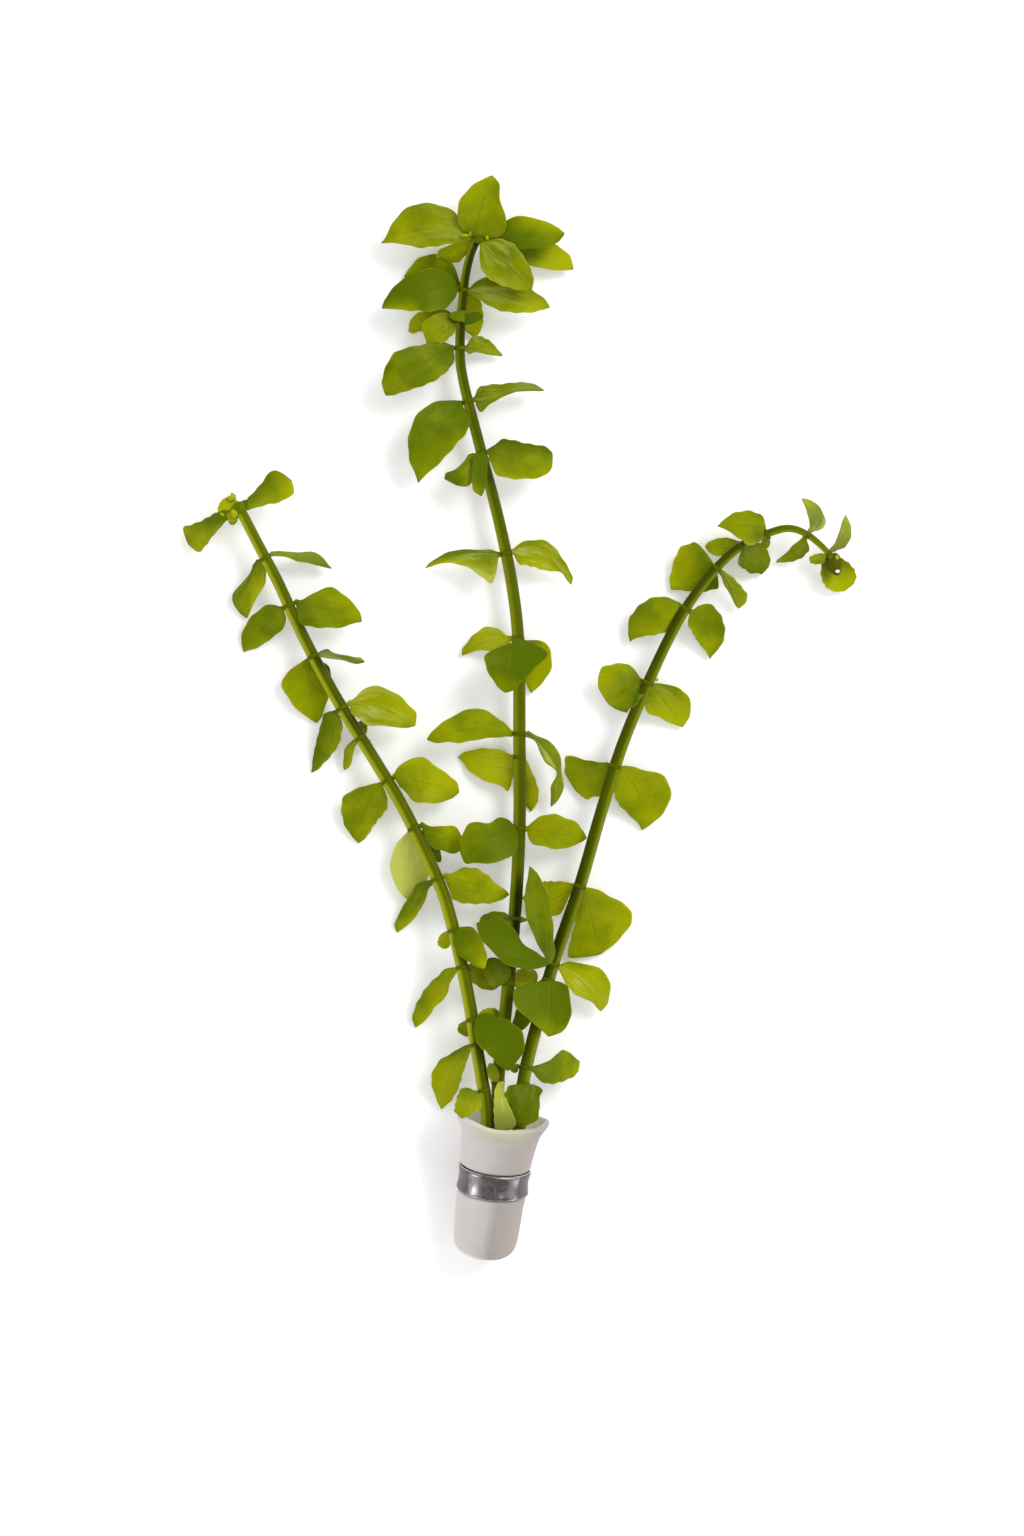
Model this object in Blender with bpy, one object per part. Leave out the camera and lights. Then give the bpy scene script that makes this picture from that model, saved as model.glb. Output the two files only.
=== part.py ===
"""A small bunch of lemon bacopa, an aquarium plant, lying on its back on a flat surface.

Three cut stems fan out of a soft foam collar that a bent strip of lead holds shut.
Stubby fleshy leaves sit on the stems in opposite pairs, and each pair clasps its stem
with one low ring. Lengths are in millimetres up to the last step, which makes metres.
+Y runs along the plant to its growing tips, and +Z points up from the surface.
"""

import math

import bmesh
import bpy
import numpy as np

MM = 0.001
UP = np.array([0.0, 0.0, 1.0])

# Moves the origin under the middle of the finished plant
ORIGIN_SHIFT = np.array([0.15, -0.37, -0.03])

# Stems
STEM_SIDES = 8
STEM_STEP = 14.0
STEM_BOW = 0.25
STEM_GAP = 0.3

# The ring with which a pair of leaves clasps its stem
RING_SIDES = 8
RING_WALL = 0.6
RING_HEIGHT = 1.3

# Leaves
LEAF_THICKNESS = 0.46
LEAF_BASE_HALF_WIDTH = 0.75
LEAF_STATIONS = (0.0, 0.12, 0.31, 0.55, 0.79, 0.94)
SMALL_LEAF_STATIONS = (0.0, 0.22, 0.55, 0.86)
SMALL_LEAF_LENGTH = 8.0
LEAF_CLEARANCE = 0.62
LEAVE_OUTWARD = 0.15
STEM_BERTH = 2.2
BERTH_SLOPE = 1.2
SETTLE_SOFTNESS = 0.8

FRONT = 1
BESIDE = 0
BEHIND = -1

# Foam collar and lead strip
FOAM_LENGTH = 31.8
FOAM_TILT = math.radians(12.0)
FOAM_LEAN = math.radians(7.0)
FOAM_END = (-8.05, -117.0, 6.0)
FOAM_SIDES = 18
STRIP_PLACE = 17.9
STRIP_WIDTH = 5.6
STRIP_THICKNESS = 0.7
STRIP_RADIUS = 6.9
STRIP_FLARE = 0.55
STRIP_PARTING = math.radians(9.0)
STRIP_SIDES = 20

# sRGB colours of the pieces
LEAF_LIT = (152, 160, 14)
LEAF_DEEP = (92, 120, 4)
STEM_COLOUR = (96, 112, 6)
FOAM_COLOUR = (210, 205, 201)
LEAD_COLOUR = (128, 122, 128)


def unit(vector):
    return vector / np.linalg.norm(vector)


def smooth_curve(points, per_span=12):
    """A curve through the points, with a short straight run-out at each end."""
    p = np.array(points, float)
    p = np.vstack([2 * p[0] - p[1], p, 2 * p[-1] - p[-2]])
    found = []
    for i in range(1, len(p) - 2):
        a, b, c, d = p[i - 1 : i + 3]
        for t in np.linspace(0, 1, per_span, endpoint=False):
            cubic = (-a + 3 * b - 3 * c + d) * t**3
            square = (2 * a - 5 * b + 4 * c - d) * t**2
            found.append((2 * b + (c - a) * t + square + cubic) / 2)
    found.append(p[-2])
    return np.array(found)


def frame_about(tangent, heading=None):
    """The directions to the right of a tangent and up from it, seen from above."""
    flat = np.array([tangent[0], tangent[1], 0.0])
    if heading is not None:
        flat = flat + 0.3 * heading
    side = unit(np.cross(flat, UP))
    side = unit(side - tangent * side.dot(tangent))
    return side, np.cross(side, tangent)


class Stem:
    """A stem as a smooth curve from its cut end, thinning to its growing tip."""

    def __init__(self, points, cut_radius, tip_radius):
        self.curve = smooth_curve(points)
        steps = np.linalg.norm(np.diff(self.curve, axis=0), axis=1)
        self.reach = np.concatenate([[0.0], np.cumsum(steps)])
        self.length = self.reach[-1]
        self.cut_radius = cut_radius
        self.tip_radius = tip_radius

    def at(self, distance):
        point = np.array([np.interp(distance, self.reach, self.curve[:, k]) for k in range(3)])
        i = int(np.clip(np.searchsorted(self.reach, distance), 1, len(self.reach) - 1))
        return point, unit(self.curve[i] - self.curve[i - 1])

    def radius(self, distance):
        share = np.clip(distance / self.length, 0, 1)
        return self.cut_radius + (self.tip_radius - self.cut_radius) * share**4


STEMS = {
    "middle": Stem(
        [
            (-5.6, -102.2, 9.2), (-4.9, -86.7, 11.6), (-4.9, -77.6, 11.4), (-3.4, -63.9, 9.9),
            (-1.3, -42.2, 7.6), (-0.3, -23.3, 6.1), (-0.3, -2.6, 5.6), (-0.5, 16.7, 5.6),
            (-1.9, 29.8, 5.6), (-4.8, 44.0, 5.6), (-9.3, 61.5, 5.6), (-12.6, 74.7, 5.6),
            (-13.3, 82.3, 5.7), (-12.5, 94.4, 6.1), (-11.0, 101.9, 6.7), (-8.8, 106.4, 7.1),
        ],
        1.4,
        0.85,
    ),
    "left": Stem(
        [
            (-8.0, -102.0, 11.0), (-7.3, -86.1, 14.2), (-8.4, -77.9, 13.2), (-9.7, -70.3, 12.3),
            (-11.7, -58.4, 11.0), (-15.2, -43.3, 9.4), (-18.3, -34.2, 8.2), (-25.2, -19.8, 7.0),
            (-31.3, -9.5, 6.4), (-40.1, 4.7, 5.9), (-47.2, 17.8, 5.6), (-53.3, 30.9, 5.8),
            (-57.0, 37.9, 6.2), (-61.4, 46.5, 7.1),
        ],
        1.38,
        1.12,
    ),
    "right": Stem(
        [
            (-3.2, -102.1, 10.6), (0.1, -85.5, 13.6), (0.7, -77.5, 12.6), (3.2, -67.1, 11.2),
            (7.1, -52.7, 9.6), (12.9, -35.9, 8.0), (17.7, -19.4, 7.1), (22.6, -4.1, 6.5),
            (30.1, 13.4, 6.0), (36.2, 24.9, 6.0), (43.0, 33.7, 6.2), (48.3, 38.4, 6.8),
            (53.9, 41.0, 7.6), (58.6, 42.1, 8.0), (62.8, 40.6, 7.8), (67.2, 36.9, 6.5),
            (68.2, 35.2, 5.9),
        ],
        1.4,
        0.6,
    ),
}


def leaf(tip, wide, ends, bend=0, arch=0, roll=0, twist=0, fold=6, cup=0.05, layer=BESIDE):
    """One leaf: its tip from the stem's middle, and its half widths left and right of the
    midrib. ends says how fast it widens from its base and narrows to its tip, once for both
    sides or for the left and then the right: a small number is blunt. bend and arch bow it to
    its left and upwards, roll lifts its right edge, and fold lifts both halves. layer says on
    which side of the stems it passes."""
    return dict(
        tip=np.array(tip, float), wide=wide, ends=ends, bend=bend, arch=arch, layer=layer,
        roll=math.radians(roll), twist=math.radians(twist), fold=math.radians(fold), cup=cup,
    )


# Each row is one node of a stem, from the cut end up: its distance along the stem, then its leaves.
LEAVES = {
    "middle": [
        (23.9, [
            leaf((2.2, -10.2, 4.0), (2.2, 1.7), (1.2, 0.3), arch=1, layer=FRONT),
            leaf((-1.8, 4.4, 3.8), (1.2, 1.2), (0.6, 0.6), layer=FRONT),
        ]),
        (45.4, [
            leaf((-4.3, 5.7, 2.5), (2.6, 2.6), (0.5, 0.5), layer=FRONT),
            leaf((6.2, 2.4, -4.5), (2.2, 2.2), (0.5, 0.5)),
        ]),
        (59.7, [
            leaf((-7.8, -1.2, -5.3), (2.2, 2.2), (0.6, 0.6), layer=BEHIND),
            leaf((6.9, -0.4, -4.0), (1.2, 1.0), (2.2, 0.5)),
        ]),
        (79.5, [
            leaf((-13.4, -3.2, 5.0), (6.0, 3.7), (0.5, 0.35), bend=0.6, arch=1.5, layer=FRONT),
            leaf((14.8, -2.2, -2.0), (4.2, 3.5), (0.6, 0.55), arch=2),
        ]),
        (95.1, [
            leaf((-13.5, -0.1, -5.3), (6.4, 2.2), (0.15, 0.6, 0.5, 0.6), layer=BEHIND),
            leaf((2.5, -12.0, -5.6), (2.8, 2.8), (0.6, 0.6), layer=BEHIND),
        ]),
        (100.2, [
            leaf((-20.2, -1.3, 1.5), (2.6, 4.4), (0.9, 0.85), bend=-1.4, arch=2),
            leaf((6.9, -16.0, -2.4), (2.6, 2.6), (0.6, 0.5), bend=4.1, arch=2, roll=0, twist=110),
        ]),
        (121.1, [
            leaf((-12.3, -3.7, -4.5), (2.6, 3.0), (0.6, 0.6), bend=-1.1),
            leaf((-2.8, -12.0, 4.5), (6.8, 5.9), (0.4, 1.0, 0.9, 0.8), arch=2, layer=FRONT),
            leaf((2.9, -11.9, -4.5), (4.4, 3.8), (0.7, 0.6), bend=1.5, layer=BEHIND),
        ]),
        (139.9, [
            leaf((-17.8, -3.2, -2.5), (5.4, 1.0), (0.3, 1.6, 0.6, 0.6), bend=-1.2, arch=2, fold=12),
            leaf((14.3, -6.8, -3.5), (3.8, 2.6), (0.5, 0.9), bend=2.0, arch=2, roll=-10),
        ]),
        (162.4, [
            leaf((15.5, 0.0, 1.5), (4.0, 5.6), (0.4, 0.5), bend=-1.0, arch=2, fold=20),
            leaf((-8.1, -5.7, 1.5), (3.4, 0.7), (0.6, 0.6), bend=0.8, arch=1.5),
            leaf((0.0, -9.7, 5.5), (2.5, 2.3), (0.3, 0.5), layer=FRONT),
        ]),
        (174.2, [
            leaf((16.8, 2.4, -0.5), (2.8, 3.9), (0.35, 0.95), bend=0.5, roll=20, twist=40, arch=2),
            leaf((-10.9, -17.9, 0.5), (5.2, 5.3), (0.5, 0.75), bend=-1.3, arch=3),
        ]),
        (186.0, [
            leaf((-16.2, -10.5, 1.5), (4.6, 4.7), (0.6, 0.55), bend=-0.8, arch=3),
            leaf((9.5, -1.3, -4.0), (2.8, 1.0), (0.6, 0.7)),
        ]),
        (192.1, [
            leaf((4.9, 0.4, 5.3), (1.2, 1.2), (0.6, 0.6), layer=FRONT),
            leaf((-7.6, -5.1, -0.3), (2.6, 2.6), (0.6, 0.5), arch=2),
            leaf((-11.6, -2.0, -5.2), (2.4, 2.8), (0.6, 0.6), layer=BEHIND),
        ]),
        (198.7, [
            leaf((-13.1, 3.4, -5.0), (3.0, 4.8), (0.8, 0.6), bend=-0.9, layer=BEHIND),
            leaf((-17.8, -4.2, 1.0), (4.3, 4.9), (0.7, 0.8), bend=-0.8, arch=3),
            leaf((18.9, -3.8, 0.0), (3.9, 3.4), (0.65, 0.7), arch=2),
            leaf((2.8, -10.7, -5.0), (2.4, 2.2), (0.6, 0.6), layer=BEHIND),
        ]),
        (210.4, [
            leaf((3.0, 13.3, 4.1), (5.0, 5.6), (0.4, 0.85), arch=1.5),
            leaf((-21.2, -0.9, -0.9), (3.2, 5.4), (0.9, 0.85), bend=-1.8, arch=2, fold=12),
            leaf((18.9, 0.9, 2.1), (4.0, 2.8), (0.6, 0.75), bend=0.4, arch=2),
            leaf((20.9, -6.2, -4.9), (3.5, 3.1), (0.8, 0.65)),
            leaf((11.7, -11.6, 4.9), (4.4, 4.6), (0.5, 0.65), layer=FRONT),
            leaf((-9.3, -4.3, -3.4), (2.6, 2.2), (0.5, 0.6), layer=BEHIND),
        ]),
    ],
    "left": [
        (22.1, [
            leaf((-4.8, -5.6, 3.2), (3.1, 2.6), (0.5, 0.5), arch=1),
        ]),
        (32.3, [
            leaf((-7.8, -14.8, -11.4), (2.3, 3.7), (0.8, 0.5), bend=-1.1),
        ]),
        (37.8, [
            leaf((7.8, -10.8, 4.3), (4.9, 3.9), (0.6, 0.5), bend=1.9, arch=1, layer=FRONT),
            leaf((6.0, 1.4, -4.7), (1.7, 1.7), (0.6, 0.6), layer=BEHIND),
            leaf((-1.8, -3.8, -5.0), (1.7, 1.9), (0.5, 0.5)),
        ]),
        (49.5, [
            leaf((-10.4, -13.7, -9.8), (2.1, 2.8), (0.6, 0.6)),
            leaf((8.2, -4.2, -4.8), (2.6, 2.6), (0.5, 0.5), layer=BEHIND),
        ]),
        (57.7, [
            leaf((6.6, -8.3, 3.8), (3.4, 2.7), (0.5, 0.4), bend=0.7, layer=FRONT),
            leaf((-2.6, -4.0, -3.2), (1.5, 1.5), (0.4, 0.4)),
        ]),
        (69.6, [
            leaf((15.7, -3.5, -2.0), (3.2, 4.2), (0.5, 0.6), arch=2),
            leaf((-8.9, -12.0, -8.0), (2.0, 2.0), (0.6, 0.4)),
        ]),
        (81.8, [
            leaf((11.5, -3.4, -1.0), (1.9, 3.5), (0.6, 0.35), arch=1),
            leaf((-1.4, -15.8, -5.0), (4.4, 3.6), (0.5, 0.6), layer=BEHIND),
            leaf((5.8, -7.5, -6.0), (1.7, 1.7), (0.6, 0.6), layer=BEHIND),
        ]),
        (93.8, [
            leaf((15.7, -2.6, -2.2), (4.8, 4.6), (0.5, 0.65, 1.2, 0.6), arch=2),
            leaf((-6.5, -13.8, -5.9), (4.3, 5.0), (0.7, 0.6, 0.75, 0.6), bend=-1.1),
        ]),
        (104.8, [
            leaf((-3.7, -7.1, -4.9), (1.0, 1.6), (1.2, 0.4)),
            leaf((1.6, -2.1, -3.9), (1.3, 1.3), (0.6, 0.5), layer=BEHIND),
            leaf((-0.1, 3.8, -3.9), (1.3, 1.3), (0.6, 0.5), layer=BEHIND),
        ]),
        (112.5, [
            leaf((16.0, -3.9, 0.9), (4.1, 4.0), (0.6, 0.5, 0.35, 0.5), bend=0.8, arch=2, fold=15),
            leaf((-7.0, -14.2, -5.7), (3.1, 2.2), (0.6, 0.6), fold=15),
        ]),
        (125.5, [
            leaf((11.4, -1.3, 1.5), (1.5, 2.4), (0.4, 0.7), roll=50, arch=2),
            leaf((0.6, -14.6, -4.9), (5.3, 5.8), (0.5, 0.6), bend=-0.6, layer=BEHIND),
        ]),
        (137.8, [
            leaf((16.0, -3.6, 0.1), (3.9, 4.7), (0.65, 0.6, 0.5, 0.6), bend=0.3, arch=2),
            leaf((-10.1, -10.1, -5.5), (3.1, 3.6), (0.55, 0.55)),
        ]),
        (149.4, [
            leaf((14.5, -2.2, -3.4), (1.7, 2.6), (1.2, 0.5), bend=0.8, roll=40),
            leaf((-4.3, -13.1, -5.4), (3.4, 3.3), (0.8, 1.1, 1.5, 0.6), bend=-0.4),
        ]),
        (161.0, [
            leaf((11.2, 6.5, 2.0), (3.9, 3.8), (1.2, 0.3), arch=1),
            leaf((-11.9, -7.0, -5.0), (3.4, 3.6), (1.1, 0.3), arch=1),
            leaf((-4.6, 1.8, -1.0), (2.0, 2.0), (0.5, 0.4)),
            leaf((-2.6, -2.8, -4.0), (1.1, 1.1), (0.5, 0.5)),
        ]),
    ],
    "right": [
        (23.9, [
            leaf((-0.4, -9.3, 1.8), (3.4, 4.3), (0.2, 0.25), layer=FRONT),
        ]),
        (27.6, [
            leaf((11.8, 0.9, -7.4), (3.1, 3.9), (0.7, 0.4)),
            leaf((-3.3, -0.8, -1.0), (1.0, 1.0), (0.5, 0.5)),
        ]),
        (47.2, [
            leaf((0.0, -12.0, 4.5), (5.2, 7.6), (0.2, 0.35, 0.25, 0.4), layer=FRONT),
            leaf((-7.4, -11.6, -4.5), (2.2, 2.2), (0.5, 0.5), layer=BEHIND),
        ]),
        (50.8, [
            leaf((-5.1, 21.5, 3.4), (3.3, 2.2), (0.5, 0.6), arch=2, layer=FRONT),
            leaf((-16.6, 9.2, 5.0), (4.6, 3.7), (0.8, 0.5, 1.5, 0.5), arch=2, layer=FRONT),
            leaf((10.6, -10.6, -6.4), (4.1, 2.6), (0.7, 0.45, 0.5, 0.5), bend=1.2, arch=1),
        ]),
        (68.8, [
            leaf((-12.6, -2.6, -5.8), (4.7, 3.2), (0.5, 0.5), bend=1.9, layer=BEHIND),
            leaf((4.6, -15.1, -7.0), (8.8, 6.4), (1.0, 0.9, 1.0, 0.15), layer=BEHIND),
        ]),
        (96.2, [
            leaf((-8.7, -5.2, -5.4), (4.2, 7.0), (0.4, 0.3, 1.5, 0.5)),
            leaf((6.0, -14.0, -5.8), (7.4, 5.2), (0.9, 0.74, 0.5, 0.8), bend=1.8, layer=BEHIND),
        ]),
        (115.8, [
            leaf((-8.6, -4.6, -2.6), (4.2, 6.2), (0.5, 0.4, 0.4, 0.2), arch=2),
            leaf((7.8, -9.6, -4.8), (4.3, 3.9), (0.4, 0.4, 0.4, 0.6), layer=BEHIND),
        ]),
        (134.1, [
            leaf((-12.0, -7.2, -4.0), (3.4, 3.7), (0.55, 0.55), bend=-1.1, arch=1),
            leaf((5.5, -11.0, -5.0), (4.0, 3.1), (0.4, 0.5), bend=1.4),
        ]),
        (145.3, [
            leaf((-9.8, -4.6, -5.2), (4.2, 7.1), (0.2, 0.5, 0.15, 0.38), layer=BEHIND),
            leaf((5.0, -8.8, -4.2), (2.4, 1.5), (0.7, 0.5), roll=-20),
        ]),
        (152.4, [
            leaf((-7.7, 0.2, -3.8), (2.6, 1.5), (0.6, 0.6), layer=BEHIND),
            leaf((6.4, -4.3, -5.8), (2.2, 3.9), (0.4, 0.3), layer=BEHIND),
        ]),
        (158.7, [
            leaf((-10.9, 1.6, 0.4), (3.1, 3.5), (0.45, 0.7), arch=2),
            leaf((-0.6, -3.3, -4.6), (0.9, 1.1), (0.6, 0.6)),
        ]),
        (168.1, [
            leaf((-1.6, 7.8, 4.2), (1.4, 2.4), (0.4, 0.8), bend=-0.7, arch=1),
            leaf((-6.6, -5.8, -6.8), (2.6, 1.3), (0.5, 1.0)),
        ]),
        (174.4, [
            leaf((3.9, -8.0, -5.4), (4.3, 4.3), (0.4, 0.4), cup=0.15, layer=BEHIND),
            leaf((3.4, 8.2, 3.6), (1.5, 2.0), (0.6, 0.8), arch=1),
            leaf((-4.2, -0.9, -2.4), (1.1, 1.1), (0.6, 0.4)),
        ]),
    ],
}


def settled(height, floor):
    """A height that lands softly on a floor instead of passing through it."""
    above = height - floor
    return floor + (above + math.hypot(above, SETTLE_SOFTNESS)) / 2


def beside_stem(point, stem):
    """The point moved straight out from the stem's middle until it is clear of it."""
    i = int(np.linalg.norm(stem.curve - point, axis=1).argmin())
    keep = stem.radius(stem.reach[i]) + LEAF_CLEARANCE
    away = point - stem.curve[i]
    distance = np.linalg.norm(away)
    return point if distance >= keep else stem.curve[i] + away * keep / distance


def clear_of_stems(point, own_stem, layer, firmness):
    """The point kept over, under or beside the stems, and above the surface."""
    if layer == BESIDE:
        point = beside_stem(point, own_stem)
    else:
        for stem in STEMS.values():
            spans = np.linalg.norm((stem.curve - point)[:, :2], axis=1)
            i = int(spans.argmin())
            berth = stem.radius(stem.reach[i]) + LEAF_CLEARANCE
            berth -= BERTH_SLOPE * max(0.0, spans[i] - STEM_BERTH)
            limit = stem.curve[i][2] + layer * berth
            short = layer * (limit - point[2])
            if short > 0:
                point = point + UP * layer * short * firmness
    point = point.copy()
    point[2] = settled(point[2], LEAF_THICKNESS / 2 - SETTLE_SOFTNESS / 2)
    point[2] = max(point[2], LEAF_THICKNESS / 2)
    return point


def outline(share, ends):
    """The width of one side of a leaf along its midrib, from 0 to 1 at its widest place."""
    a, b = ends
    peak = a / (a + b)
    return (share / peak) ** a * ((1 - share) / (1 - peak)) ** b


def midrib(stem, distance, blade):
    """The four control points of the midrib, from inside the clasping ring to the tip."""
    middle, tangent = stem.at(distance)
    side, up = frame_about(tangent)
    out = blade["tip"] - tangent * blade["tip"].dot(tangent)
    out = unit(unit(out) + up * 1.2 * blade["layer"])
    start = middle + out * (stem.radius(distance) + STEM_GAP + RING_WALL / 2)
    end = middle + blade["tip"]
    chord = end - start
    along = unit(chord)
    left = -frame_about(along)[0]
    leave = unit(out * LEAVE_OUTWARD + along) * np.linalg.norm(chord) / 3
    bow = (left * blade["bend"] + UP * blade["arch"]) * 4 / 3
    return start, start + leave + bow, end - chord / 3 + bow, end


def blade_point(stem, distance, blade, share, across):
    """A point on the leaf's middle sheet, and the direction out of its upper face."""
    a, b, c, d = midrib(stem, distance, blade)
    left = 1 - share
    point = a * left**3 + 3 * b * left**2 * share + 3 * c * left * share**2 + d * share**3
    tangent = (b - a) * left**2 + 2 * (c - b) * left * share + (d - c) * share**2
    side, up = frame_about(unit(tangent), unit(d - a))
    turn = blade["roll"] + blade["twist"] * share
    side, up = (
        side * math.cos(turn) + up * math.sin(turn),
        up * math.cos(turn) - side * math.sin(turn),
    )
    half, ends = blade["wide"][0], blade["ends"][:2]
    if across > 0:
        half, ends = blade["wide"][1], blade["ends"][-2:]
    grown = max(half * outline(share, ends), LEAF_BASE_HALF_WIDTH * (1 - 4 * share))
    reach = abs(across) * grown
    lift = reach * math.sin(blade["fold"]) + blade["cup"] * across**2 * grown
    point = point + side * math.copysign(reach * math.cos(blade["fold"]), across) + up * lift
    firmness = min(1.0, share / 0.12)
    return clear_of_stems(point, stem, blade["layer"], firmness), up


def mesh_object(name, verts, faces):
    """A mesh object from points in millimetres, with its faces turned outwards."""
    mesh = bpy.data.meshes.new(name)
    mesh.from_pydata([tuple(MM * (np.array(v) + ORIGIN_SHIFT)) for v in verts], [], faces)
    mesh.validate()
    work = bmesh.new()
    work.from_mesh(mesh)
    bmesh.ops.recalc_face_normals(work, faces=work.faces)
    work.to_mesh(mesh)
    work.free()
    made = bpy.data.objects.new(name, mesh)
    bpy.context.scene.collection.objects.link(made)
    return made


def loft(loops):
    """Faces that join loops of equal size into a tube, closed by a face at each end."""
    size = len(loops[0])
    faces = []
    for i in range(len(loops) - 1):
        for k in range(size):
            n = (k + 1) % size
            low = i * size
            faces.append((low + k, low + n, low + size + n, low + size + k))
    last = (len(loops) - 1) * size
    faces.append(tuple(range(size))[::-1])
    faces.append(tuple(range(last, last + size)))
    return [v for loop in loops for v in loop], faces


def leaf_solid(name, stem, distance, blade):
    """A leaf as a thin lens: sharp sides, thickest along its midrib, pointed at its tip."""
    small = np.linalg.norm(blade["tip"]) < SMALL_LEAF_LENGTH
    loops = []
    for share in SMALL_LEAF_STATIONS if small else LEAF_STATIONS:
        left, _ = blade_point(stem, distance, blade, share, -1)
        right, _ = blade_point(stem, distance, blade, share, 1)
        rib, up = blade_point(stem, distance, blade, share, 0)
        half = up * LEAF_THICKNESS / 2
        loops.append([left, rib + half, right, rib - half])
    verts, faces = loft(loops)
    faces.pop()
    tip, _ = blade_point(stem, distance, blade, 1.0, 0)
    last = len(verts) - 4
    verts.append(tip)
    faces += [(last + k, last + (k + 1) % 4, last + 4) for k in range(4)]
    return mesh_object(name, verts, faces)


def ring_solid(name, stem, distance):
    """The low band that clasps the stem where a pair of leaves grows from it."""
    middle, tangent = stem.at(distance)
    side, up = frame_about(tangent)
    bore = (stem.radius(distance) + STEM_GAP) / math.cos(math.pi / RING_SIDES)
    profile = (
        (bore, -RING_HEIGHT / 2),
        (bore, RING_HEIGHT / 2),
        (bore + RING_WALL, 0.0),
    )
    verts = []
    for k in range(RING_SIDES):
        turn = math.tau * k / RING_SIDES
        out = side * math.cos(turn) + up * math.sin(turn)
        verts += [middle + out * radius + tangent * height for radius, height in profile]
    faces = []
    for k in range(RING_SIDES):
        n = (k + 1) % RING_SIDES
        for j in range(3):
            m = (j + 1) % 3
            faces.append((3 * k + j, 3 * k + m, 3 * n + m, 3 * n + j))
    return mesh_object(name, verts, faces)


def grown_together(base, pieces):
    """The base with the pieces joined to it as one closed body."""
    for piece in pieces:
        join = base.modifiers.new("grown_" + piece.name, "BOOLEAN")
        join.operation = "UNION"
        join.solver = "EXACT"
        join.use_self = True
        join.object = piece
    graph = bpy.context.evaluated_depsgraph_get()
    joined = bpy.data.meshes.new_from_object(base.evaluated_get(graph))
    base.modifiers.clear()
    base.data = joined
    for piece in pieces:
        bpy.data.objects.remove(piece)
    return base


def leaf_node(name, stem, distance, blades):
    """The leaves of one stem node and the ring that they share."""
    ring = ring_solid(name, stem, distance)
    pieces = [
        leaf_solid(f"{name}_blade_{i}", stem, distance, blade) for i, blade in enumerate(blades)
    ]
    return grown_together(ring, pieces)


def stem_solid(name, stem, nodes):
    """A stem as a tube with a flat cut end and a small rounded knob at its tip. It has a loop
    at every node and wherever it bends."""
    stations = [0.0]
    for distance in np.arange(0.5, stem.length, 0.5):
        first, _ = stem.at(stations[-1])
        last, _ = stem.at(distance + 0.5)
        chord = unit(last - first)
        between = stem.at((stations[-1] + distance) / 2)[0] - first
        bow = np.linalg.norm(between - chord * between.dot(chord))
        at_node = min(abs(distance - node) for node in nodes) < 0.25
        if at_node or bow > STEM_BOW or distance - stations[-1] > STEM_STEP:
            stations.append(distance)
    stations += [stem.length, stem.length + 0.8]
    loops = []
    for distance in stations:
        past = max(0.0, distance - stem.length)
        middle, tangent = stem.at(distance)
        middle = middle + tangent * past
        side, up = frame_about(tangent)
        radius = stem.radius(distance) * (0.55 if past else 1.0)
        loops.append([
            middle + (side * math.cos(turn) + up * math.sin(turn)) * radius
            for turn in np.arange(STEM_SIDES) * math.tau / STEM_SIDES
        ])
    return mesh_object(name, *loft(loops))


def collar_frame():
    """The foam collar's end, and the directions along it, across it and out of its top."""
    along = np.array([
        math.sin(FOAM_LEAN) * math.cos(FOAM_TILT),
        math.cos(FOAM_LEAN) * math.cos(FOAM_TILT),
        math.sin(FOAM_TILT),
    ])
    side, up = frame_about(along)
    return np.array(FOAM_END), along, side, up


def collar_circle(place, radius, sides, bulge=0.0, bulge_turn=0.0):
    """A circle about the collar's axis, with one soft bulge in its outline."""
    end, along, side, up = collar_frame()
    found = []
    for turn in np.arange(sides) * math.tau / sides:
        swell = bulge * math.exp(-(math.remainder(turn - bulge_turn, math.tau) ** 2) / 0.5)
        out = side * math.cos(turn) + up * math.sin(turn)
        found.append(end + along * (place + 0.25 * swell) + out * (radius + swell))
    return found


def foam_solid(name):
    """A soft foam cup: a rounded lower end, a waist under the strip, and a flared mouth."""
    waist = STRIP_RADIUS - STEM_GAP
    low = STRIP_PLACE - STRIP_WIDTH / 2
    high = STRIP_PLACE + STRIP_WIDTH / 2
    outside = [
        (0.0, 4.2, 0.0), (1.0, 5.7, 0.0), (2.8, 6.8, 0.0), (6.0, 7.3, 0.0), (low - 2.4, 7.4, 0.0),
        (low - 0.6, waist + 0.1, 0.0), (STRIP_PLACE, waist, 0.0), (high + 0.6, waist + 0.15, 0.0),
        (high + 3.4, 7.7, 0.3), (high + 7.6, 8.8, 0.7), (FOAM_LENGTH - 0.6, 9.8, 0.8),
        (FOAM_LENGTH, 9.3, 0.8),
    ]
    inside = [
        (FOAM_LENGTH - 0.4, 8.3, 0.6), (high + 5.0, 6.6, 0.2), (high, 5.3, 0.0), (13.0, 5.1, 0.0),
    ]
    loops = [
        collar_circle(place, radius, FOAM_SIDES, bulge) for place, radius, bulge in outside + inside
    ]
    return mesh_object(name, *loft(loops))


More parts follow.
